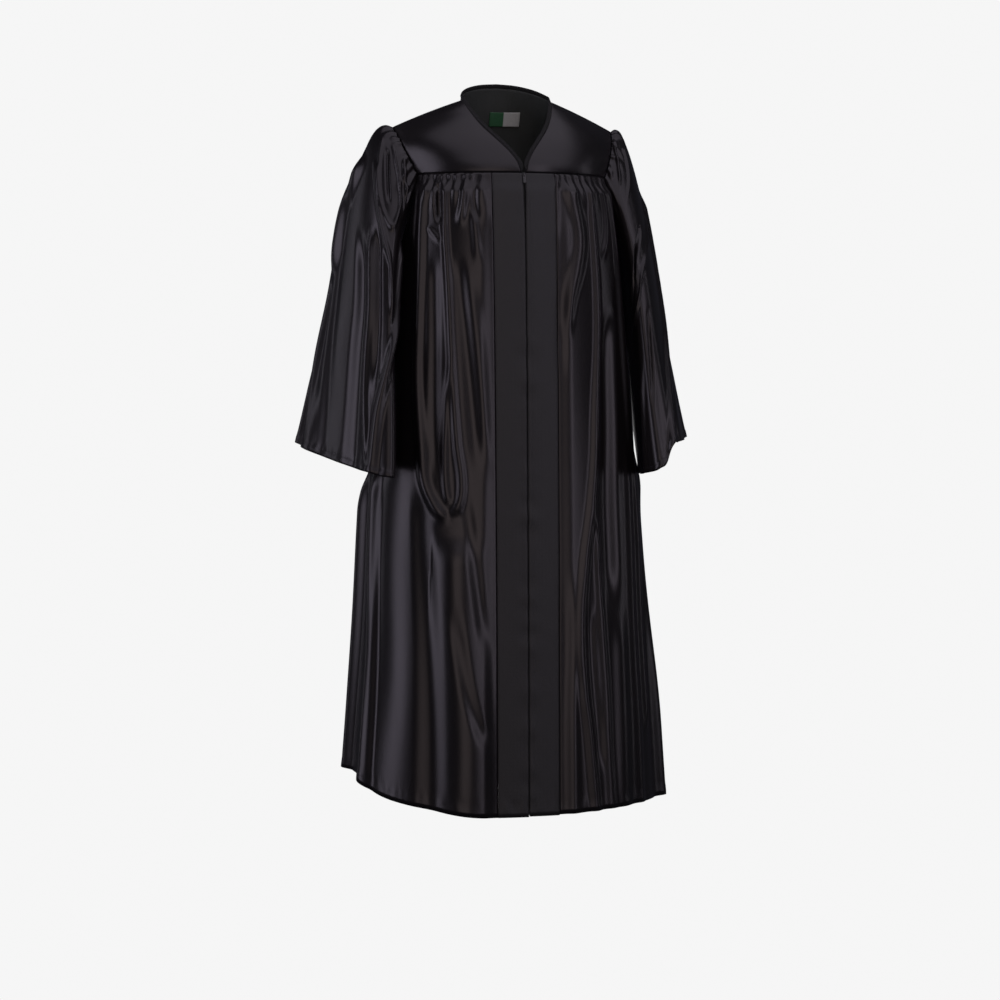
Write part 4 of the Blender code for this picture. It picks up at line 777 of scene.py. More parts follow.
def back_yoke_point(a, b):
    """The back yoke on +X: a from the centre back to the armhole, b from the seam to the top."""
    side = neck_side_share()

    def low(share):
        return plain_point(blended(180.0, ARMHOLE_BACK, share), YOKE_SEAM_BACK)

    def high(share):
        neck = neck_point(blended(1.0, side, np.clip(share / NECK_PART, 0.0, 1.0)))
        past = np.clip((share - NECK_PART) / (1.0 - NECK_PART), 0.0, 1.0)
        shoulder = bowed(NECKLINE[NECK_SIDE], SHOULDER_TIP, SHOULDER_BOW, past)
        return np.where((share < NECK_PART)[..., None], neck, shoulder)

    def near(share):
        return bowed(low(np.zeros(1))[0], NECKLINE[-1], (0.0, 0.0050, 0.0), share)

    def far(share):
        return bowed(back_corner(), SHOULDER_TIP, ARMHOLE_BACK_BOW, share)

    bulge = YOKE_BULGE * 16 * (a * (1 - a) * b * (1 - b))[..., None]
    return patch(low, high, near, far, a, b) + bulge * np.array([0.0, 0.75, 0.65])


def surface_normals(point, a, b, step=2e-3):
    """The directions straight out of a surface that a function of two shares gives."""
    up_a = point(a + step, b) - point(a - step, b)
    up_b = point(a, b + step) - point(a, b - step)
    normals = np.cross(up_a, up_b)
    normals /= np.maximum(np.linalg.norm(normals, axis=-1, keepdims=True), 1e-12)
    upwards = np.where(normals[..., 2:] + 0.2 * np.abs(normals[..., 1:2]) < 0, -1.0, 1.0)
    return normals * upwards


def yoke_lift(points, a, b):
    """Soft unevenness over a yoke, less beside its seams."""
    inner = smooth_step(np.minimum(b, 1.0 - b) / 0.12) * smooth_step((1.0 - a) / 0.10)
    soft = YOKE_UNEVEN * uneven(points, 31, (0.08, 0.20), (0.08, 0.24)) * inner
    rolled = np.exp(-((b / 0.012) ** 2)) + np.exp(-(((1.0 - a) / 0.008) ** 2))
    return (soft - 0.0006 * rolled)[..., None]


def yoke_front_place(side):
    """Puts a front yoke's grid in place."""

    def place(u, v):
        a = blended(0.002, 0.999, u)
        b = blended(0.0, 0.9985, 1.0 - v)
        points = front_yoke_point(a, b)
        safe_a = np.clip(a, 0.01, 0.99)
        normals = surface_normals(front_yoke_point, safe_a, np.clip(b, 0.01, 0.99))
        points = points + yoke_lift(points, a, b) * normals
        return points * np.array([side, 1.0, 1.0])

    return place


def yoke_back_place(u, v):
    """Puts the whole back yoke's grid in place, from one armhole to the other."""
    a = np.abs(2.0 * u - 1.0) * 0.999
    b = blended(0.0, 0.9985, 1.0 - v)
    points = back_yoke_point(a, b)
    normals = surface_normals(back_yoke_point, np.clip(a, 0.01, 0.99), np.clip(b, 0.01, 0.99))
    normals[..., 0] *= smooth_step(a / 0.06)
    points = points + yoke_lift(points * np.array([3.0, 1.0, 1.0]), a, b) * normals
    return points * np.stack([np.where(u < 0.5, -1.0, 1.0), 0 * u + 1, 0 * u + 1], -1)


def armhole_ring():
    """The armhole on +X, from the shoulder tip down the front, round the underarm and up the back."""
    upper = np.linspace(1.0, 0.0, RING_YOKE + 1)
    lower = np.linspace(0.0, 1.0, RING_LOWER + 1)
    front_angle = 90.0 - (90.0 - ARMHOLE_FRONT) * np.cos(0.5 * np.pi * lower)
    back_angle = 90.0 + (ARMHOLE_BACK - 90.0) * np.cos(0.5 * np.pi * lower[::-1])
    stretches = [
        front_yoke_point(np.ones_like(upper), upper)[:-1],
        plain_point(front_angle, armhole_height(front_angle))[:-1],
        plain_point(back_angle, armhole_height(back_angle))[:-1],
        back_yoke_point(np.ones_like(upper), upper[::-1])[:-1],
    ]
    return np.concatenate(stretches)


def ring_turns(ring):
    """How far round the sleeve each point of the armhole lies, in degrees."""
    steps = np.linalg.norm(np.roll(ring, -1, axis=0) - ring, axis=1)
    under = RING_YOKE + RING_LOWER
    front = np.concatenate([[0.0], np.cumsum(steps[:under])])
    back = np.concatenate([[0.0], np.cumsum(steps[under:])])
    return np.concatenate([180.0 * front / front[-1], 180.0 + 180.0 * back[1:-1] / back[-1]])


def round_the_sleeve(table, turn):
    """A vector that is given over, in front, under and behind, at any place round the sleeve."""
    over, front, under, back = [np.array(table[name]) for name in ("over", "front", "under", "back")]
    turn = np.radians(turn)[..., None]
    middle = 0.25 * (over + front + under + back)
    twice = 0.25 * (over + under - front - back)
    once = 0.5 * (over - under) * np.cos(turn) + 0.5 * (front - back) * np.sin(turn)
    return middle + once + twice * np.cos(2 * turn)


def cuff_point(side, turn):
    """The cuff's edge, as it would be on +X."""
    round_cuff = np.radians(turn)
    lean = radians(CUFF_TURN)
    out = CUFF_HALF_WIDTH[side] * np.cos(round_cuff)
    forward = CUFF_HALF_DEPTH * np.sin(round_cuff)
    x = CUFF_CENTRE[0] - CUFF_INWARDS[side] + out * cos(lean) - forward * sin(lean)
    y = CUFF_CENTRE[1] - out * sin(lean) - forward * cos(lean)
    heights = [row.right if side < 0 else row.left for row in CUFF_ROWS]
    z = through([row.turn for row in CUFF_ROWS], heights, turn)
    return np.stack([x, y, z], -1)


def grid_normals(points):
    """The direction straight out of a tube's surface at each of its points."""
    round_it = np.roll(points, -1, axis=1) - np.roll(points, 1, axis=1)
    along = np.gradient(points, axis=0)
    normals = np.cross(round_it, along)
    return normals / np.maximum(np.linalg.norm(normals, axis=-1, keepdims=True), 1e-9)


def cap_gathers(side):
    """Short gathers that fan out from the seam at the sleeve's head."""
    chance = np.random.default_rng(40 + side)
    made = []
    for turn in np.concatenate([np.linspace(-60.0, 84.0, 17), np.linspace(252.0, 288.0, 4)]):
        start = turn + chance.uniform(-3.2, 3.2)
        spread = 0.08 * (start - 10.0) + chance.uniform(-3.5, 3.5)
        length = chance.uniform(0.06, 0.24)
        foot = chance.uniform(0.009, 0.014)
        rise = 0.0034 * chance.uniform(0.5, 1.3)
        turns = (start, start + 0.4 * spread, start + spread)
        along = (0.0, 0.4 * length, length)
        made.append(SleeveFold(turns, along, GATHER_HALF, foot, rise, 0.004, 0.35 * length))
    return made


def sleeve_lift(folds, turns, share, base):
    """How far a sleeve's folds move each of its points outwards."""
    per_degree = SLEEVE_ROUND / 360.0
    turn, along = np.meshgrid(turns, share)
    turn = turn.ravel()
    along = along.ravel()
    lift = np.zeros_like(turn)
    small = np.zeros_like(turn)
    for fold in folds:
        keys = range(len(fold.turns))
        steps = np.linspace(0.0, len(fold.turns) - 1.0, 6 * len(fold.turns))
        path_turn = through(keys, fold.turns, steps) * per_degree
        path_along = through(keys, fold.along, steps) * SLEEVE_LENGTH
        into = small if fold.width_top == GATHER_HALF else lift
        for shifted in (turn, turn - 360.0, turn + 360.0):
            near = (shifted > min(fold.turns) - 20.0) & (shifted < max(fold.turns) + 20.0)
            near &= along < max(fold.along) + 0.06
            if near.any():
                into[near] += fold_lift(
                    fold,
                    shifted[near] * per_degree,
                    along[near] * SLEEVE_LENGTH,
                    path_turn,
                    path_along,
                )
    points = base.reshape(-1, 3)
    lift += SLEEVE_UNEVEN * uneven(points, 51, (0.08, 0.20), (0.25, 0.70))
    flat_by_seam = smooth_step((along * SLEEVE_LENGTH - TOP_STITCH) / 0.025)
    beside_body = smooth_step((np.cos(np.radians(turn - 185.0)) - 0.55) / 0.3)
    lift = lift * flat_by_seam * (1.0 - 0.9 * beside_body)
    lift += small * smooth_step(along * SLEEVE_LENGTH / 0.004)
    above_cuff = (1.0 - along) * SLEEVE_LENGTH
    puckered = np.exp(-(((above_cuff - CUFF_TURN_UP) / 0.007) ** 2))
    lift += 0.0006 * puckered * uneven(points, 61, (0.012, 0.030), (0.05, 0.12))
    lift += 0.0005 * smooth_step((CUFF_TURN_UP - above_cuff) / 0.002)
    lift -= 0.0012 * np.exp(-((along * SLEEVE_LENGTH / 0.0015) ** 2))
    return lift.reshape(len(share), len(turns))


def sleeve_shares():
    """The rows along a sleeve, closer together at its head and beside the cuff's edge."""
    head = np.array([0.0, 0.0010, 0.0022, 0.0040]) / SLEEVE_LENGTH
    rest = np.linspace(0.0, 1.0, SLEEVE_ROWS)[2:] ** SLEEVE_CROWDING
    cuff = 1.0 - CUFF_TURN_UP / SLEEVE_LENGTH
    return np.unique(np.concatenate([head, rest[rest > head[-1]], [cuff]]))


def sleeve_rings(side, folds):
    """The sleeve's rings as on +X, with their outward directions: rows along, columns round."""
    ring = armhole_ring()
    turns = ring_turns(ring)
    share = sleeve_shares()
    away = ring[:, :2] - np.array([0.0, 0.02])
    away = np.column_stack([away[:, 0], 0.6 * away[:, 1], 0.0 * away[:, 0]])
    ring = ring + SEAM_GAP * 0.6 * away / np.linalg.norm(away, axis=1, keepdims=True)
    t = share[:, None, None]
    leaves = round_the_sleeve(SLEEVE_LEAVES, turns) * np.array([SLEEVE_OUT[side], 1.0, 1.0])
    start = (1 + 2 * t) * (1 - t) ** 2 * ring + t * (1 - t) ** 2 * leaves
    cuff = cuff_point(side, turns)
    end = t * t * (3 - 2 * t) * cuff - t * t * (1 - t) * round_the_sleeve(SLEEVE_ARRIVES, turns)
    points = start + end
    normals = grid_normals(points)
    centre = points.mean(axis=1, keepdims=True)
    if ((points - centre) * normals).sum() < 0:
        normals = -normals
    lift = sleeve_lift(folds, turns, share, points)
    return points + lift[..., None] * normals, normals, share


def sleeve_place(side, folds):
    """Puts a sleeve's grid in place: down from the armhole, then turned up inside the cuff."""
    points, normals, share = sleeve_rings(side, folds)
    turned = np.searchsorted(share, 1.0 - CUFF_TURN_UP / SLEEVE_LENGTH)
    last = len(share) - 1
    inner_rows = [(last, 0.0010), (last - 1, 0.0018), ((turned + last) // 2, 0.0018), (turned, 0.0018)]
    extra = [points[row] - inset * normals[row] for row, inset in inner_rows]
    every = np.concatenate([points, np.array(extra)]) * np.array([side, 1.0, 1.0])
    count = points.shape[1]

    def place(u, v):
        column = np.rint(u * count).astype(int) % count
        row = np.rint(v * (len(every) - 1)).astype(int)
        return every[row, column]

    return place, count, len(every) - 1


# Finishes

class Value:
    """A socket whose Python maths adds the Math nodes that work it out."""

    def __init__(self, finish, socket):
        self.finish = finish
        self.socket = socket

    def maths(self, operation, *others):
        values = {index: other for index, other in enumerate(others)}
        return self.finish.node("ShaderNodeMath", {"operation": operation}, values)

    def __add__(self, other):
        return self.maths("ADD", self, other)

    def __mul__(self, other):
        return self.maths("MULTIPLY", self, other)

    def __sub__(self, other):
        return self.maths("SUBTRACT", self, other)

    def __rsub__(self, other):
        return self.maths("SUBTRACT", other, self)

    def __gt__(self, other):
        return self.maths("GREATER_THAN", self, other)

    __radd__ = __add__
    __rmul__ = __mul__


class Finish:
    """A material being made. The same value all over is set on its shader's own socket."""

    def __init__(self, name, **everywhere):
        self.material = bpy.data.materials.new(name)
        self.material.use_nodes = True
        self.tree = self.material.node_tree
        self.shader = self.tree.nodes["Principled BSDF"]
        for socket, value in everywhere.items():
            self.shader.inputs[socket.replace("_", " ")].default_value = value

    def node(self, kind, settings=None, values=None, output=0):
        """One node: its settings first, then the values or links of its sockets."""
        made = self.tree.nodes.new(kind)
        for setting, value in (settings or {}).items():
            setattr(made, setting, value)
        for socket, value in (values or {}).items():
            self.feed(made.inputs[socket], value)
        return Value(self, made.outputs[output])

    def feed(self, socket, value):
        """Links a value to a socket, or sets a plain one."""
        if isinstance(value, Value):
            self.tree.links.new(value.socket, socket)
        else:
            socket.default_value = value

    def place(self, stretch=(1.0, 1.0, 1.0)):
        """The piece's own coordinates in metres, stretched."""
        where = self.node("ShaderNodeTexCoord", output="Object")
        return self.node("ShaderNodeMapping", values={"Vector": where, "Scale": stretch})

    def cut_place(self, stretch=(1.0, 1.0, 1.0)):
        """Coordinates along the flat cut's warp and weft, in metres, stretched."""
        where = self.node("ShaderNodeUVMap", {"uv_map": "cut"})
        return self.node("ShaderNodeMapping", values={"Vector": where, "Scale": stretch})

    def noise(self, where, scale, detail=2.0, roughness=0.5):
        """Soft noise from 0 to 1."""
        values = {"Vector": where, "Scale": scale, "Detail": detail, "Roughness": roughness}
        return self.node("ShaderNodeTexNoise", values=values)

    def between(self, mask, first, second):
        """A colour between two, by a mask."""
        values = {"Factor": mask, 6: (*first, 1.0), 7: (*second, 1.0)}
        return self.node("ShaderNodeMix", {"data_type": "RGBA"}, values, output=2)

    def relief(self, height, distance, strength=1.0, under=None):
        """A bump of so many metres, over another one."""
        values = {"Height": height, "Distance": distance, "Strength": strength}
        if under is not None:
            values["Normal"] = under
        return self.node("ShaderNodeBump", values=values)

    def colour(self, value):
        self.feed(self.shader.inputs["Base Color"], value)

    def roughness(self, value):
        self.feed(self.shader.inputs["Roughness"], value)

    def normal(self, value):
        self.feed(self.shader.inputs["Normal"], value)


def woven(finish, threads, depth, under=None):
    """The ribs of a plain weave, as a bump: threads a metre, and their depth in metres."""
    warp = finish.node(
        "ShaderNodeTexWave",
        {"bands_direction": "X"},
        {"Vector": finish.cut_place(), "Scale": threads / 20.0, "Distortion": 0.6, "Detail": 1.0},
        output="Fac",
    )
    weft = finish.node(
        "ShaderNodeTexWave",
        {"bands_direction": "Y"},
        {"Vector": finish.cut_place(), "Scale": threads / 20.0, "Distortion": 0.6, "Detail": 1.0},
        output="Fac",
    )
    return finish.relief(warp * weft, depth, 1.0, under)


def satin_finish():
    """The shiny face of black satin: cool and brownish by turns, with faint drag marks."""
    finish = Finish(
        "black_satin_face",
        Specular_IOR_Level=SATIN_GLOSS,
        Specular_Tint=(1.0, 0.96, 1.0, 1.0),
        Sheen_Weight=0.04,
        Sheen_Roughness=0.35,
        Sheen_Tint=(0.62, 0.60, 0.85, 1.0),
    )
    drift = finish.noise(finish.place((1.0, 1.0, 0.35)), 7.0, 2.0)
    finish.colour(finish.between(drift, (0.0046, 0.0040, 0.0052), (0.0092, 0.0070, 0.0068)))
    smudge = finish.noise(finish.place((1.0, 1.0, 0.25)), 26.0, 3.0)
    finish.roughness(SATIN_ROUGH + SATIN_SMUDGE * smudge)
    drag = finish.noise(finish.place((1.0, 1.0, 0.20)), 26.0, 2.0, 0.5)
    soft = finish.relief(drag, 0.0009, 0.12)
    slub = finish.noise(finish.cut_place((1.0, 0.06, 1.0)), 1600.0, 1.0)
    finish.normal(finish.relief(slub, 0.00006, 0.6, soft))
    return finish.material


def satin_back_finish():
    """The matt inner side of the satin."""
    finish = Finish("black_satin_back", Roughness=0.62, Specular_IOR_Level=0.35)
    tone = finish.noise(finish.place(), 30.0, 2.0)
    finish.colour(finish.between(tone, (0.054, 0.060, 0.057), (0.070, 0.077, 0.073)))
    finish.normal(woven(finish, 1500.0, 0.00006))
    return finish.material


def band_finish():
    """The lined bands: the same cloth, flat and stiff, with a duller and more even shine."""
    finish = Finish(
        "lined_band_cloth",
        Specular_IOR_Level=BAND_GLOSS,
        Specular_Tint=(0.95, 0.95, 1.0, 1.0),
        Sheen_Weight=0.05,
        Sheen_Roughness=0.4,
    )
    tone = finish.noise(finish.place((1.0, 1.0, 0.4)), 22.0, 3.0)
    finish.colour(finish.between(tone, (0.0170, 0.0166, 0.0168), (0.0230, 0.0224, 0.0218)))
    finish.roughness(BAND_ROUGH + 0.08 * tone)
    ripple = finish.noise(finish.place((1.0, 1.0, 0.7)), 60.0, 2.0)
    finish.normal(woven(finish, 1400.0, 0.00005, finish.relief(ripple, 0.0007, 0.35)))
    return finish.material


def binding_finish():
    """The matt bias binding, with its diagonal rib."""
    finish = Finish("bias_binding", Roughness=0.78, Specular_IOR_Level=0.20, Sheen_Weight=0.02)
    tone = finish.noise(finish.place(), 60.0, 3.0)
    finish.colour(finish.between(tone, (0.0170, 0.0170, 0.0180), (0.0270, 0.0270, 0.0275)))
    rib = finish.node(
        "ShaderNodeTexWave",
        {"bands_direction": "DIAGONAL"},
        {"Vector": finish.cut_place(), "Scale": 60.0, "Distortion": 0.8, "Detail": 1.0},
        output="Fac",
    )
    finish.normal(finish.relief(rib, 0.00012, 0.7))
    return finish.material


def thread_finish():
    """Black sewing thread, a little lighter than the cloth."""
    finish = Finish("black_thread", Roughness=0.5, Sheen_Weight=0.2)
    tone = finish.noise(finish.place(), 900.0, 1.0)
    finish.colour(finish.between(tone, (0.016, 0.016, 0.018), (0.030, 0.030, 0.033)))
    return finish.material


def label_finish():
    """A bare woven ribbon: a green block and a white one, side by side."""
    finish = Finish("label_ribbon", Roughness=0.48, Sheen_Weight=0.15)
    split = LABEL_ACROSS + (LABEL_GREEN_SHARE - 0.5) * LABEL_WIDTH
    across = finish.node(
        "ShaderNodeSeparateXYZ", values={"Vector": finish.place()}, output="X"
    )
    tone = finish.noise(finish.place(), 260.0, 2.0)
    white = finish.between(tone, (0.60, 0.63, 0.60), (0.74, 0.76, 0.73))
    green = finish.between(tone, (0.030, 0.135, 0.055), (0.045, 0.175, 0.075))
    mixed = {"Factor": across > split, 6: green, 7: white}
    blocks = finish.node("ShaderNodeMix", {"data_type": "RGBA"}, mixed, output=2)
    finish.colour(blocks)
    finish.normal(woven(finish, 2600.0, 0.00004))
    return finish.material


def tape_finish():
    """The zip's woven tape."""
    finish = Finish("zip_tape_cloth", Roughness=0.7, Specular_IOR_Level=0.3)
    tone = finish.noise(finish.place(), 220.0, 2.0)
    finish.colour(finish.between(tone, (0.008, 0.008, 0.009), (0.014, 0.014, 0.015)))
    finish.normal(woven(finish, 1500.0, 0.00008))
    return finish.material


def coil_finish():
    """The zip's nylon teeth."""
    finish = Finish("zip_teeth_nylon", Specular_IOR_Level=0.5)
    tone = finish.noise(finish.place(), 700.0, 1.0)
    finish.colour(finish.between(tone, (0.010, 0.010, 0.011), (0.018, 0.018, 0.019)))
    finish.roughness(0.32 + 0.15 * tone)
    return finish.material


def slider_finish():
    """Lacquered metal, worn bright where it rubs."""
    finish = Finish("slider_lacquer", Specular_IOR_Level=0.5, Coat_Roughness=0.2)
    worn = finish.noise(finish.place(), 900.0, 4.0, 0.6)
    mask = finish.node(
        "ShaderNodeMapRange",
        values={"Value": worn, "From Min": 0.50, "From Max": 0.62},
    )
    finish.colour(finish.between(mask, (0.030, 0.030, 0.032), (0.20, 0.20, 0.21)))
    finish.feed(finish.shader.inputs["Metallic"], mask)
    finish.roughness(0.34 + 0.12 * worn)
    return finish.material


# Pieces

def object_from(shape, name, *materials):
    """A piece at the origin from a bmesh, shaded smooth."""
    mesh = bpy.data.meshes.new(name)
    shape.to_mesh(mesh)
    shape.free()
    for each in materials:
        mesh.materials.append(each)
    mesh.shade_smooth()
    made = bpy.data.objects.new(name, mesh)
    bpy.context.scene.collection.objects.link(made)
    return made


def grid_piece(name, columns, rows, place, inside, cut, materials, wall=WALL):
    """A sheet: a grid put in place by a function, with its cut's coordinates and a thin wall."""
    shape = bmesh.new()
    shape.loops.layers.uv.new("cut")
    bmesh.ops.create_grid(shape, x_segments=columns, y_segments=rows, size=0.5, calc_uvs=True)
    u = np.array([vert.co.x + 0.5 for vert in shape.verts])
    v = np.array([0.5 - vert.co.y for vert in shape.verts])
    for vert, point in zip(shape.verts, place(u, v)):
        vert.co = point
    bmesh.ops.remove_doubles(shape, verts=shape.verts, dist=1e-6)
    shape.normal_update()
    centre = Vector(inside)
    facing = sum(face.normal.dot(face.calc_center_median() - centre) for face in shape.faces)
    if facing < 0:
        bmesh.ops.reverse_faces(shape, faces=shape.faces)
    made = object_from(shape, name, *materials)
    corners = made.data.uv_layers["cut"].uv
    flat = np.empty(2 * len(corners), np.float32)
    corners.foreach_get("vector", flat)
    flat = flat.reshape(-1, 2) * np.array(cut, np.float32)
    corners.foreach_set("vector", flat.ravel())
    if wall:
        thick = made.modifiers.new("wall", "SOLIDIFY")
        thick.thickness = wall
        thick.offset = -1.0
        thick.material_offset = len(materials) - 1
    return made


def sewn_row(name, path, normals, lift=0.0002, pitch=STITCH_PITCH, length=STITCH_LONG):
    """A row of stitches along a path, each a small bead of thread that lies on the cloth."""
    steps = np.linalg.norm(np.diff(path, axis=0), axis=1)
    along = np.concatenate([[0.0], np.cumsum(steps)])
    count = int(along[-1] / pitch)
    at = (np.arange(count) + 0.5) * pitch
    middle = np.stack([np.interp(at, along, path[:, i]) for i in range(3)], -1)
    ahead = np.stack([np.interp(at + 0.2 * pitch, along, path[:, i]) for i in range(3)], -1)
    up = np.stack([np.interp(at, along, normals[:, i]) for i in range(3)], -1)
    shape = bmesh.new()
    for here, there, normal in zip(middle, ahead, up):
        way = Vector(there - here).normalized()
        out = Vector(normal).normalized()
        across = way.cross(out).normalized()
        turn = Matrix((way, across, out)).transposed().to_4x4()
        size = Matrix.Diagonal((length, STITCH_THICK, STITCH_THICK, 1.0))
        place = Matrix.Translation(Vector(here) + lift * out) @ turn @ size
        bmesh.ops.create_uvsphere(shape, u_segments=5, v_segments=3, radius=0.5, matrix=place)
    return object_from(shape, name, THREAD)


def keep(piece, *nodes, slot):
    """Gives a piece its body and hides the imported nodes that it stands for. The slot is not used."""
    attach(piece, "gown")
    if nodes:
        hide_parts(*nodes)
    return piece


THREAD = thread_finish()
SATIN = satin_finish()
SATIN_BACK = satin_back_finish()


def body_sewing(side, word):
    """The stitch rows of one front: two along its band, and the hem's."""
    rows = []
    heights = np.linspace(YOKE_SEAM_FRONT - 0.004, hem_height(0.0) + 0.004, 900)
    for label, across in (("edge", BAND_WIDTH - 0.0028), ("zip", 0.0095)):
        angle = side * angle_at(np.full_like(heights, across), heights)
        path = body_point(angle, heights)
        rows.append(sewn_row(f"band_{label}_sewing_{word}", path, outward(angle, heights)))
    first = angle_at(0.004, HEM[8].height)
    angles = side * np.linspace(first, 89.9, 700)
    heights = hem_height(angles) + HEM_TURN - 0.0012
    rows.append(sewn_row(f"hem_sewing_{word}", body_point(angles, heights), outward(angles, heights)))
    return rows


def fronts():
    """Both front panels and bands, with their sewing."""
    band = band_finish()
    rows = len(PANEL_TABLE) - 1
    middle = (0.0, 0.02, -0.6)
    for side, word in ((-1, "right"), (1, "left")):
        cut = (0.40, 1.15)
        columns = FRONT_COLUMNS + ARMHOLE_COLUMNS
        panel = grid_piece(
            f"front_cloth_{word}", columns, rows, front_place(side), middle, cut, (SATIN, SATIN_BACK)
        )
        keep(panel, f"front_panel_{word}", slot="satin")
        sewing = [keep(row, slot="satin") for row in body_sewing(side, word)]
        strip = grid_piece(
            f"band_cloth_{word}", BAND_COLUMNS, rows, band_place(side), middle, (0.060, 1.15), (band, SATIN_BACK), 0.0009
        )
        keep(strip, f"front_band_{word}", slot="band")


def back():
    """The back panel and its hem's sewing."""
    columns = BACK_COLUMNS + 2 * ARMHOLE_COLUMNS
    rows = len(PANEL_TABLE) - 1
    cut = (0.98, 1.16)
    panel = grid_piece(
        "back_cloth", columns, rows, back_place, (0.0, 0.02, -0.6), cut, (SATIN, SATIN_BACK)
    )
    keep(panel, "back_panel", slot="satin")
    angles = np.linspace(90.1, 269.9, 1500)
    heights = hem_height(angles) + HEM_TURN - 0.0012
    sewing = sewn_row("hem_sewing_back", body_point(angles, heights), outward(angles, heights))
    keep(sewing, slot="satin")


def yokes():
    """The flat yokes over the chest, the shoulders and the upper back."""
    inside = (0.0, 0.02, -0.25)
    for side, word in ((-1, "right"), (1, "left")):
        cut = (0.20, 0.17)
        yoke = grid_piece(
            f"front_yoke_{word}", YOKE_COLUMNS, YOKE_ROWS, yoke_front_place(side), inside, cut,
            (SATIN, SATIN_BACK), 0.0009,
        )
        keep(yoke, f"yoke_front_{word}", slot="satin")
    yoke = grid_piece(
        "back_yoke", 2 * YOKE_COLUMNS, YOKE_ROWS, yoke_back_place, inside, (0.44, 0.17),
        (SATIN, SATIN_BACK), 0.0009,
    )
    keep(yoke, "yoke_back", slot="satin")


def sleeves():
    """The two bell sleeves with the sewing of their cuffs."""
    for side, word, folds in ((-1, "right", RIGHT_SLEEVE_FOLDS), (1, "left", LEFT_SLEEVE_FOLDS)):
        place, columns, rows = sleeve_place(side, folds + cap_gathers(side))
        inside = (side * 0.27, 0.0, -0.40)
        cut = (0.78, 0.60)
        sleeve = grid_piece(
            f"sleeve_cloth_{word}", columns, rows, place, inside, cut, (SATIN, SATIN_BACK)
        )
        keep(sleeve, f"sleeve_{word}", slot="satin")
        round_it = np.arange(columns + 1) / columns
        turned = len(sleeve_shares()) - 3
        path = place(round_it, np.full(columns + 1, turned / rows))
        middle = path.mean(axis=0)
        away = path - middle
        away[:, 2] = 0.0
        sewing = sewn_row(f"cuff_sewing_{word}", path, away)
        keep(sewing, slot="satin")


def neck_path(count):
    """Points along the whole neckline with the way that its edge stands up at each."""
    share = np.linspace(0.0, 1.0, count)
    edge = neck_point(share)
    inner = np.array([yoke_beside(part) for part in share])
    way = edge - inner
    way = way / np.linalg.norm(way, axis=1, keepdims=True)
    way[-1, 0] = 0.0
    way[0] = (-0.20, -0.15, 0.97)
    for _ in range(12):
        way[1:-1] = 0.25 * way[:-2] + 0.5 * way[1:-1] + 0.25 * way[2:]
    way = way / np.linalg.norm(way, axis=1, keepdims=True)
    return edge, way


def yoke_beside(share):
    """A point of the yoke a little way in from the neckline."""
    side = neck_side_share()
    if share < side:
        return front_yoke_point(np.array([0.08]), np.array([share / side]))[0]
    a = NECK_PART * (1.0 - share) / (1.0 - side)
    return back_yoke_point(np.array([a]), np.array([0.92]))[0]


def binding():
    """The bound edge: a rolled strip along the whole neckline, sewn at its foot."""
    half = 90
    edge, way = neck_path(half + 1)
    mirrored = np.array([-1.0, 1.0, 1.0])
    edge = np.concatenate([edge, (edge * mirrored)[-2::-1]])
    way = np.concatenate([way, (way * mirrored)[-2::-1]])
    along = np.gradient(edge, axis=0)
    along /= np.linalg.norm(along, axis=1, keepdims=True)
    out = np.cross(along, way)
    centre = np.array([0.0, 0.0, -0.10])
    out *= np.sign((out * (edge - centre)).sum(axis=1, keepdims=True))
    out /= np.linalg.norm(out, axis=1, keepdims=True)
    round_count = 16

    def place(u, v):
        column = np.rint(u * 2 * half).astype(int)
        turn = 2 * np.pi * np.rint(v * round_count) / round_count
        flat = np.sign(np.cos(turn)) * np.abs(np.cos(turn)) ** 0.75
        middle_height = 0.5 * (BINDING_HEIGHT - BINDING_WRAP)
        rise = middle_height + 0.0002 + 0.5 * (BINDING_HEIGHT + BINDING_WRAP) * flat
        depth = 0.5 * BINDING_THICK * np.sin(turn) * (1.0 + 0.12 * np.cos(turn))
        uneven_roll = 0.00012 * np.sin(column * 0.9) * np.sin(turn)
        shift = -0.10 * BINDING_THICK
        points = edge[column] + rise[:, None] * way[column]
        points = points + (depth + shift + uneven_roll)[:, None] * out[column]
        limit = 0.0012
        middle = column == half
        points[:, 0] = np.where(middle, 0.0, points[:, 0])
        first = column <= half
        keep_right = np.maximum(points[:, 0], limit)
        keep_left = np.minimum(points[:, 0], -limit)
        near_foot = np.minimum(column, 2 * half - column) < 12
        points[:, 0] = np.where(near_foot & first, keep_right, points[:, 0])
        points[:, 0] = np.where(near_foot & ~first, keep_left, points[:, 0])
        return points

    roll = grid_piece(
        "neck_binding_roll", 2 * half, round_count, place, (0.0, 0.0, -0.3), (0.66, 0.020),
        (binding_finish(),), 0.0,
    )
    shape = bmesh.new()
    shape.from_mesh(roll.data)
    open_edges = [edge for edge in shape.edges if edge.is_boundary]
    bmesh.ops.holes_fill(shape, edges=open_edges, sides=0)
    bmesh.ops.recalc_face_normals(shape, faces=shape.faces)
    shape.to_mesh(roll.data)
    shape.free()
    keep(roll, "neck_binding", slot="binding")
    path = edge + 0.0012 * way + 0.5 * BINDING_THICK * out
    sewing = sewn_row("neck_sewing", path, out, lift=-0.0001, pitch=0.0030, length=0.0020)
    keep(sewing, slot="binding")


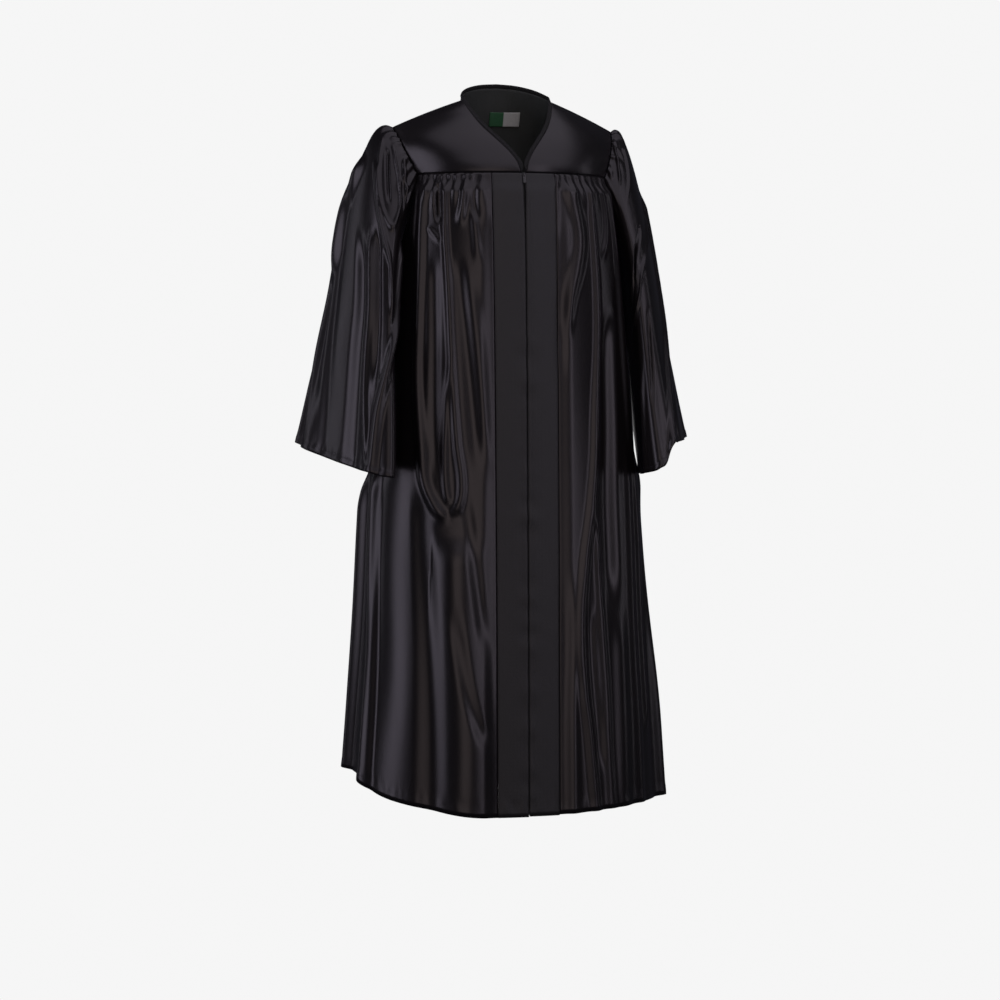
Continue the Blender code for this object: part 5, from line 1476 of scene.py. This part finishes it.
def label():
    """The bare two-coloured label, sewn inside the back neck at its two short ends."""

    def place(u, v):
        x = LABEL_ACROSS + (u - 0.5) * LABEL_WIDTH
        z = LABEL_TOP - v * LABEL_HEIGHT
        a = np.full_like(x, 0.1)
        b = np.full_like(x, 0.7)
        for _ in range(8):
            here = back_yoke_point(a, b)
            step_a = (back_yoke_point(a + 1e-3, b) - here) / 1e-3
            step_b = (back_yoke_point(a, b + 1e-3) - here) / 1e-3
            miss_x = np.abs(x) - here[..., 0]
            miss_z = z - here[..., 2]
            size = step_a[..., 0] * step_b[..., 2] - step_b[..., 0] * step_a[..., 2]
            a = a + (miss_x * step_b[..., 2] - step_b[..., 0] * miss_z) / size
            b = b + (step_a[..., 0] * miss_z - miss_x * step_a[..., 2]) / size
        points = back_yoke_point(a, b)
        points[..., 0] = x
        bow = 0.0006 * np.sin(np.pi * u) * (1.0 + 0.5 * np.sin(7.0 * u + 2.0 * v))
        points[..., 1] -= LABEL_INSIDE - 0.0006 + bow
        return points

    cut = (LABEL_WIDTH, LABEL_HEIGHT)
    ribbon = grid_piece(
        "label_ribbon", 40, 18, place, (0.0, -0.3, 0.0), cut, (label_finish(),), 0.0004
    )
    keep(ribbon, "label", slot="label")
    down = np.linspace(0.04, 0.96, 40)
    for word, u in (("green_end", 0.035), ("white_end", 0.965)):
        path = place(np.full_like(down, u), down)
        normals = np.tile(np.array([0.0, -1.0, 0.1]), (len(down), 1))
        row = sewn_row(f"label_sewing_{word}", path, normals, lift=0.0007, pitch=0.0022, length=0.0015)
        keep(row, slot="label")


def zip_parts():
    """The zip's tape and its two rows of closed teeth behind the slit."""
    foot = hem_height(0.0) + ZIP_ABOVE_HEM
    top = YOKE_SEAM_FRONT - 0.001

    def place(u, v):
        height = blended(top, foot, v)
        points = body_point(0.0 * height, height)
        points[..., 0] = (u - 0.5) * 2 * ZIP_TAPE_HALF
        points[..., 1] += ZIP_TAPE_BEHIND
        return points

    cut = (2 * ZIP_TAPE_HALF, top - foot)
    tape = grid_piece("zip_tape_cloth", 6, 160, place, (0.0, 0.5, -0.6), cut, (tape_finish(),), 0.0006)
    keep(tape, "zip_tape", slot="zip")
    pitch = 0.0015
    heights = np.arange(foot + pitch, top - 0.012, pitch)
    places = body_point(0.0 * heights, heights)
    shape = bmesh.new()
    for index, (point, height) in enumerate(zip(places, heights)):
        side = 1 if index % 2 else -1
        where = Vector((side * 0.0009, point[1] + 0.0030, height))
        size = Matrix.Diagonal((0.0028, 0.0014, 0.0011, 1.0))
        bmesh.ops.create_icosphere(
            shape, subdivisions=1, radius=0.5, matrix=Matrix.Translation(where) @ size
        )
    teeth = object_from(shape, "zip_teeth", coil_finish())
    keep(teeth, "zip_chain", slot="zip")


def studio():
    """The floor, the backdrop light, the lamps and the camera."""
    shape = bmesh.new()
    bmesh.ops.create_circle(shape, cap_ends=True, segments=64, radius=FLOOR_RADIUS)
    bmesh.ops.translate(shape, verts=shape.verts, vec=(0.0, 0.0, FLOOR_HEIGHT))
    paint = Finish("pale_floor", Roughness=1.0, Specular_IOR_Level=0.0, Emission_Strength=1.0)
    paint.shader.inputs["Base Color"].default_value = (0.0, 0.0, 0.0, 1.0)
    paint.shader.inputs["Emission Color"].default_value = (0.92, 0.92, 0.92, 1.0)
    floor = object_from(shape, "floor", paint.material)
    floor.visible_glossy = False
    floor.visible_diffuse = False
    floor.visible_shadow = False
    world = bpy.data.worlds.new("studio")
    bpy.context.scene.world = world
    world.use_nodes = True
    tree = world.node_tree
    seen = tree.nodes["Background"]
    seen.inputs["Color"].default_value = (0.92, 0.92, 0.92, 1.0)
    around = tree.nodes.new("ShaderNodeBackground")
    around.inputs["Color"].default_value = (0.80, 0.84, 1.0, 1.0)
    around.inputs["Strength"].default_value = WORLD_LIGHT
    rays = tree.nodes.new("ShaderNodeLightPath")
    mix = tree.nodes.new("ShaderNodeMixShader")
    tree.links.new(rays.outputs["Is Camera Ray"], mix.inputs["Fac"])
    tree.links.new(around.outputs[0], mix.inputs[1])
    tree.links.new(seen.outputs[0], mix.inputs[2])
    tree.links.new(mix.outputs[0], tree.nodes["World Output"].inputs["Surface"])
    for lamp in LAMPS:
        light = bpy.data.lights.new(lamp.name, "AREA")
        light.shape = "RECTANGLE"
        light.size = lamp.wide
        light.size_y = lamp.tall
        light.energy = lamp.glow * pi * lamp.wide * lamp.tall
        light.color = lamp.colour
        made = bpy.data.objects.new(lamp.name, light)
        round_it = radians(lamp.azimuth)
        made.location = (lamp.away * sin(round_it), -lamp.away * cos(round_it), lamp.height)
        way = Vector((0.0, 0.0, lamp.aim)) - made.location
        made.rotation_euler = way.to_track_quat("-Z", "Y").to_euler()
        made.visible_camera = False
        bpy.context.scene.collection.objects.link(made)
    view = bpy.context.scene.view_settings
    view.view_transform = "Standard"
    data = bpy.data.cameras.new("camera")
    data.lens = LENS
    camera = bpy.data.objects.new("camera", data)
    turn = radians(CAMERA_AZIMUTH)
    back_way = Vector((sin(turn), -cos(turn), 0.0))
    right_way = Vector((cos(turn), sin(turn), 0.0))
    camera.location = CAMERA_DISTANCE * back_way + Vector((0.0, 0.0, CAMERA_HEIGHT))
    aim = AIM_RIGHT * right_way + Vector((0.0, 0.0, AIM_HEIGHT))
    camera.rotation_euler = (aim - camera.location).to_track_quat("-Z", "Y").to_euler()
    bpy.context.scene.collection.objects.link(camera)
    bpy.context.scene.camera = camera


fronts()
back()
yokes()
sleeves()
binding()
label()
zip_parts()
LACQUER = slider_finish()
for node_name in ("zip_slider", "zip_pull"):
    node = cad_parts[node_name]
    node.data.materials.clear()
    node.data.materials.append(LACQUER)
studio()
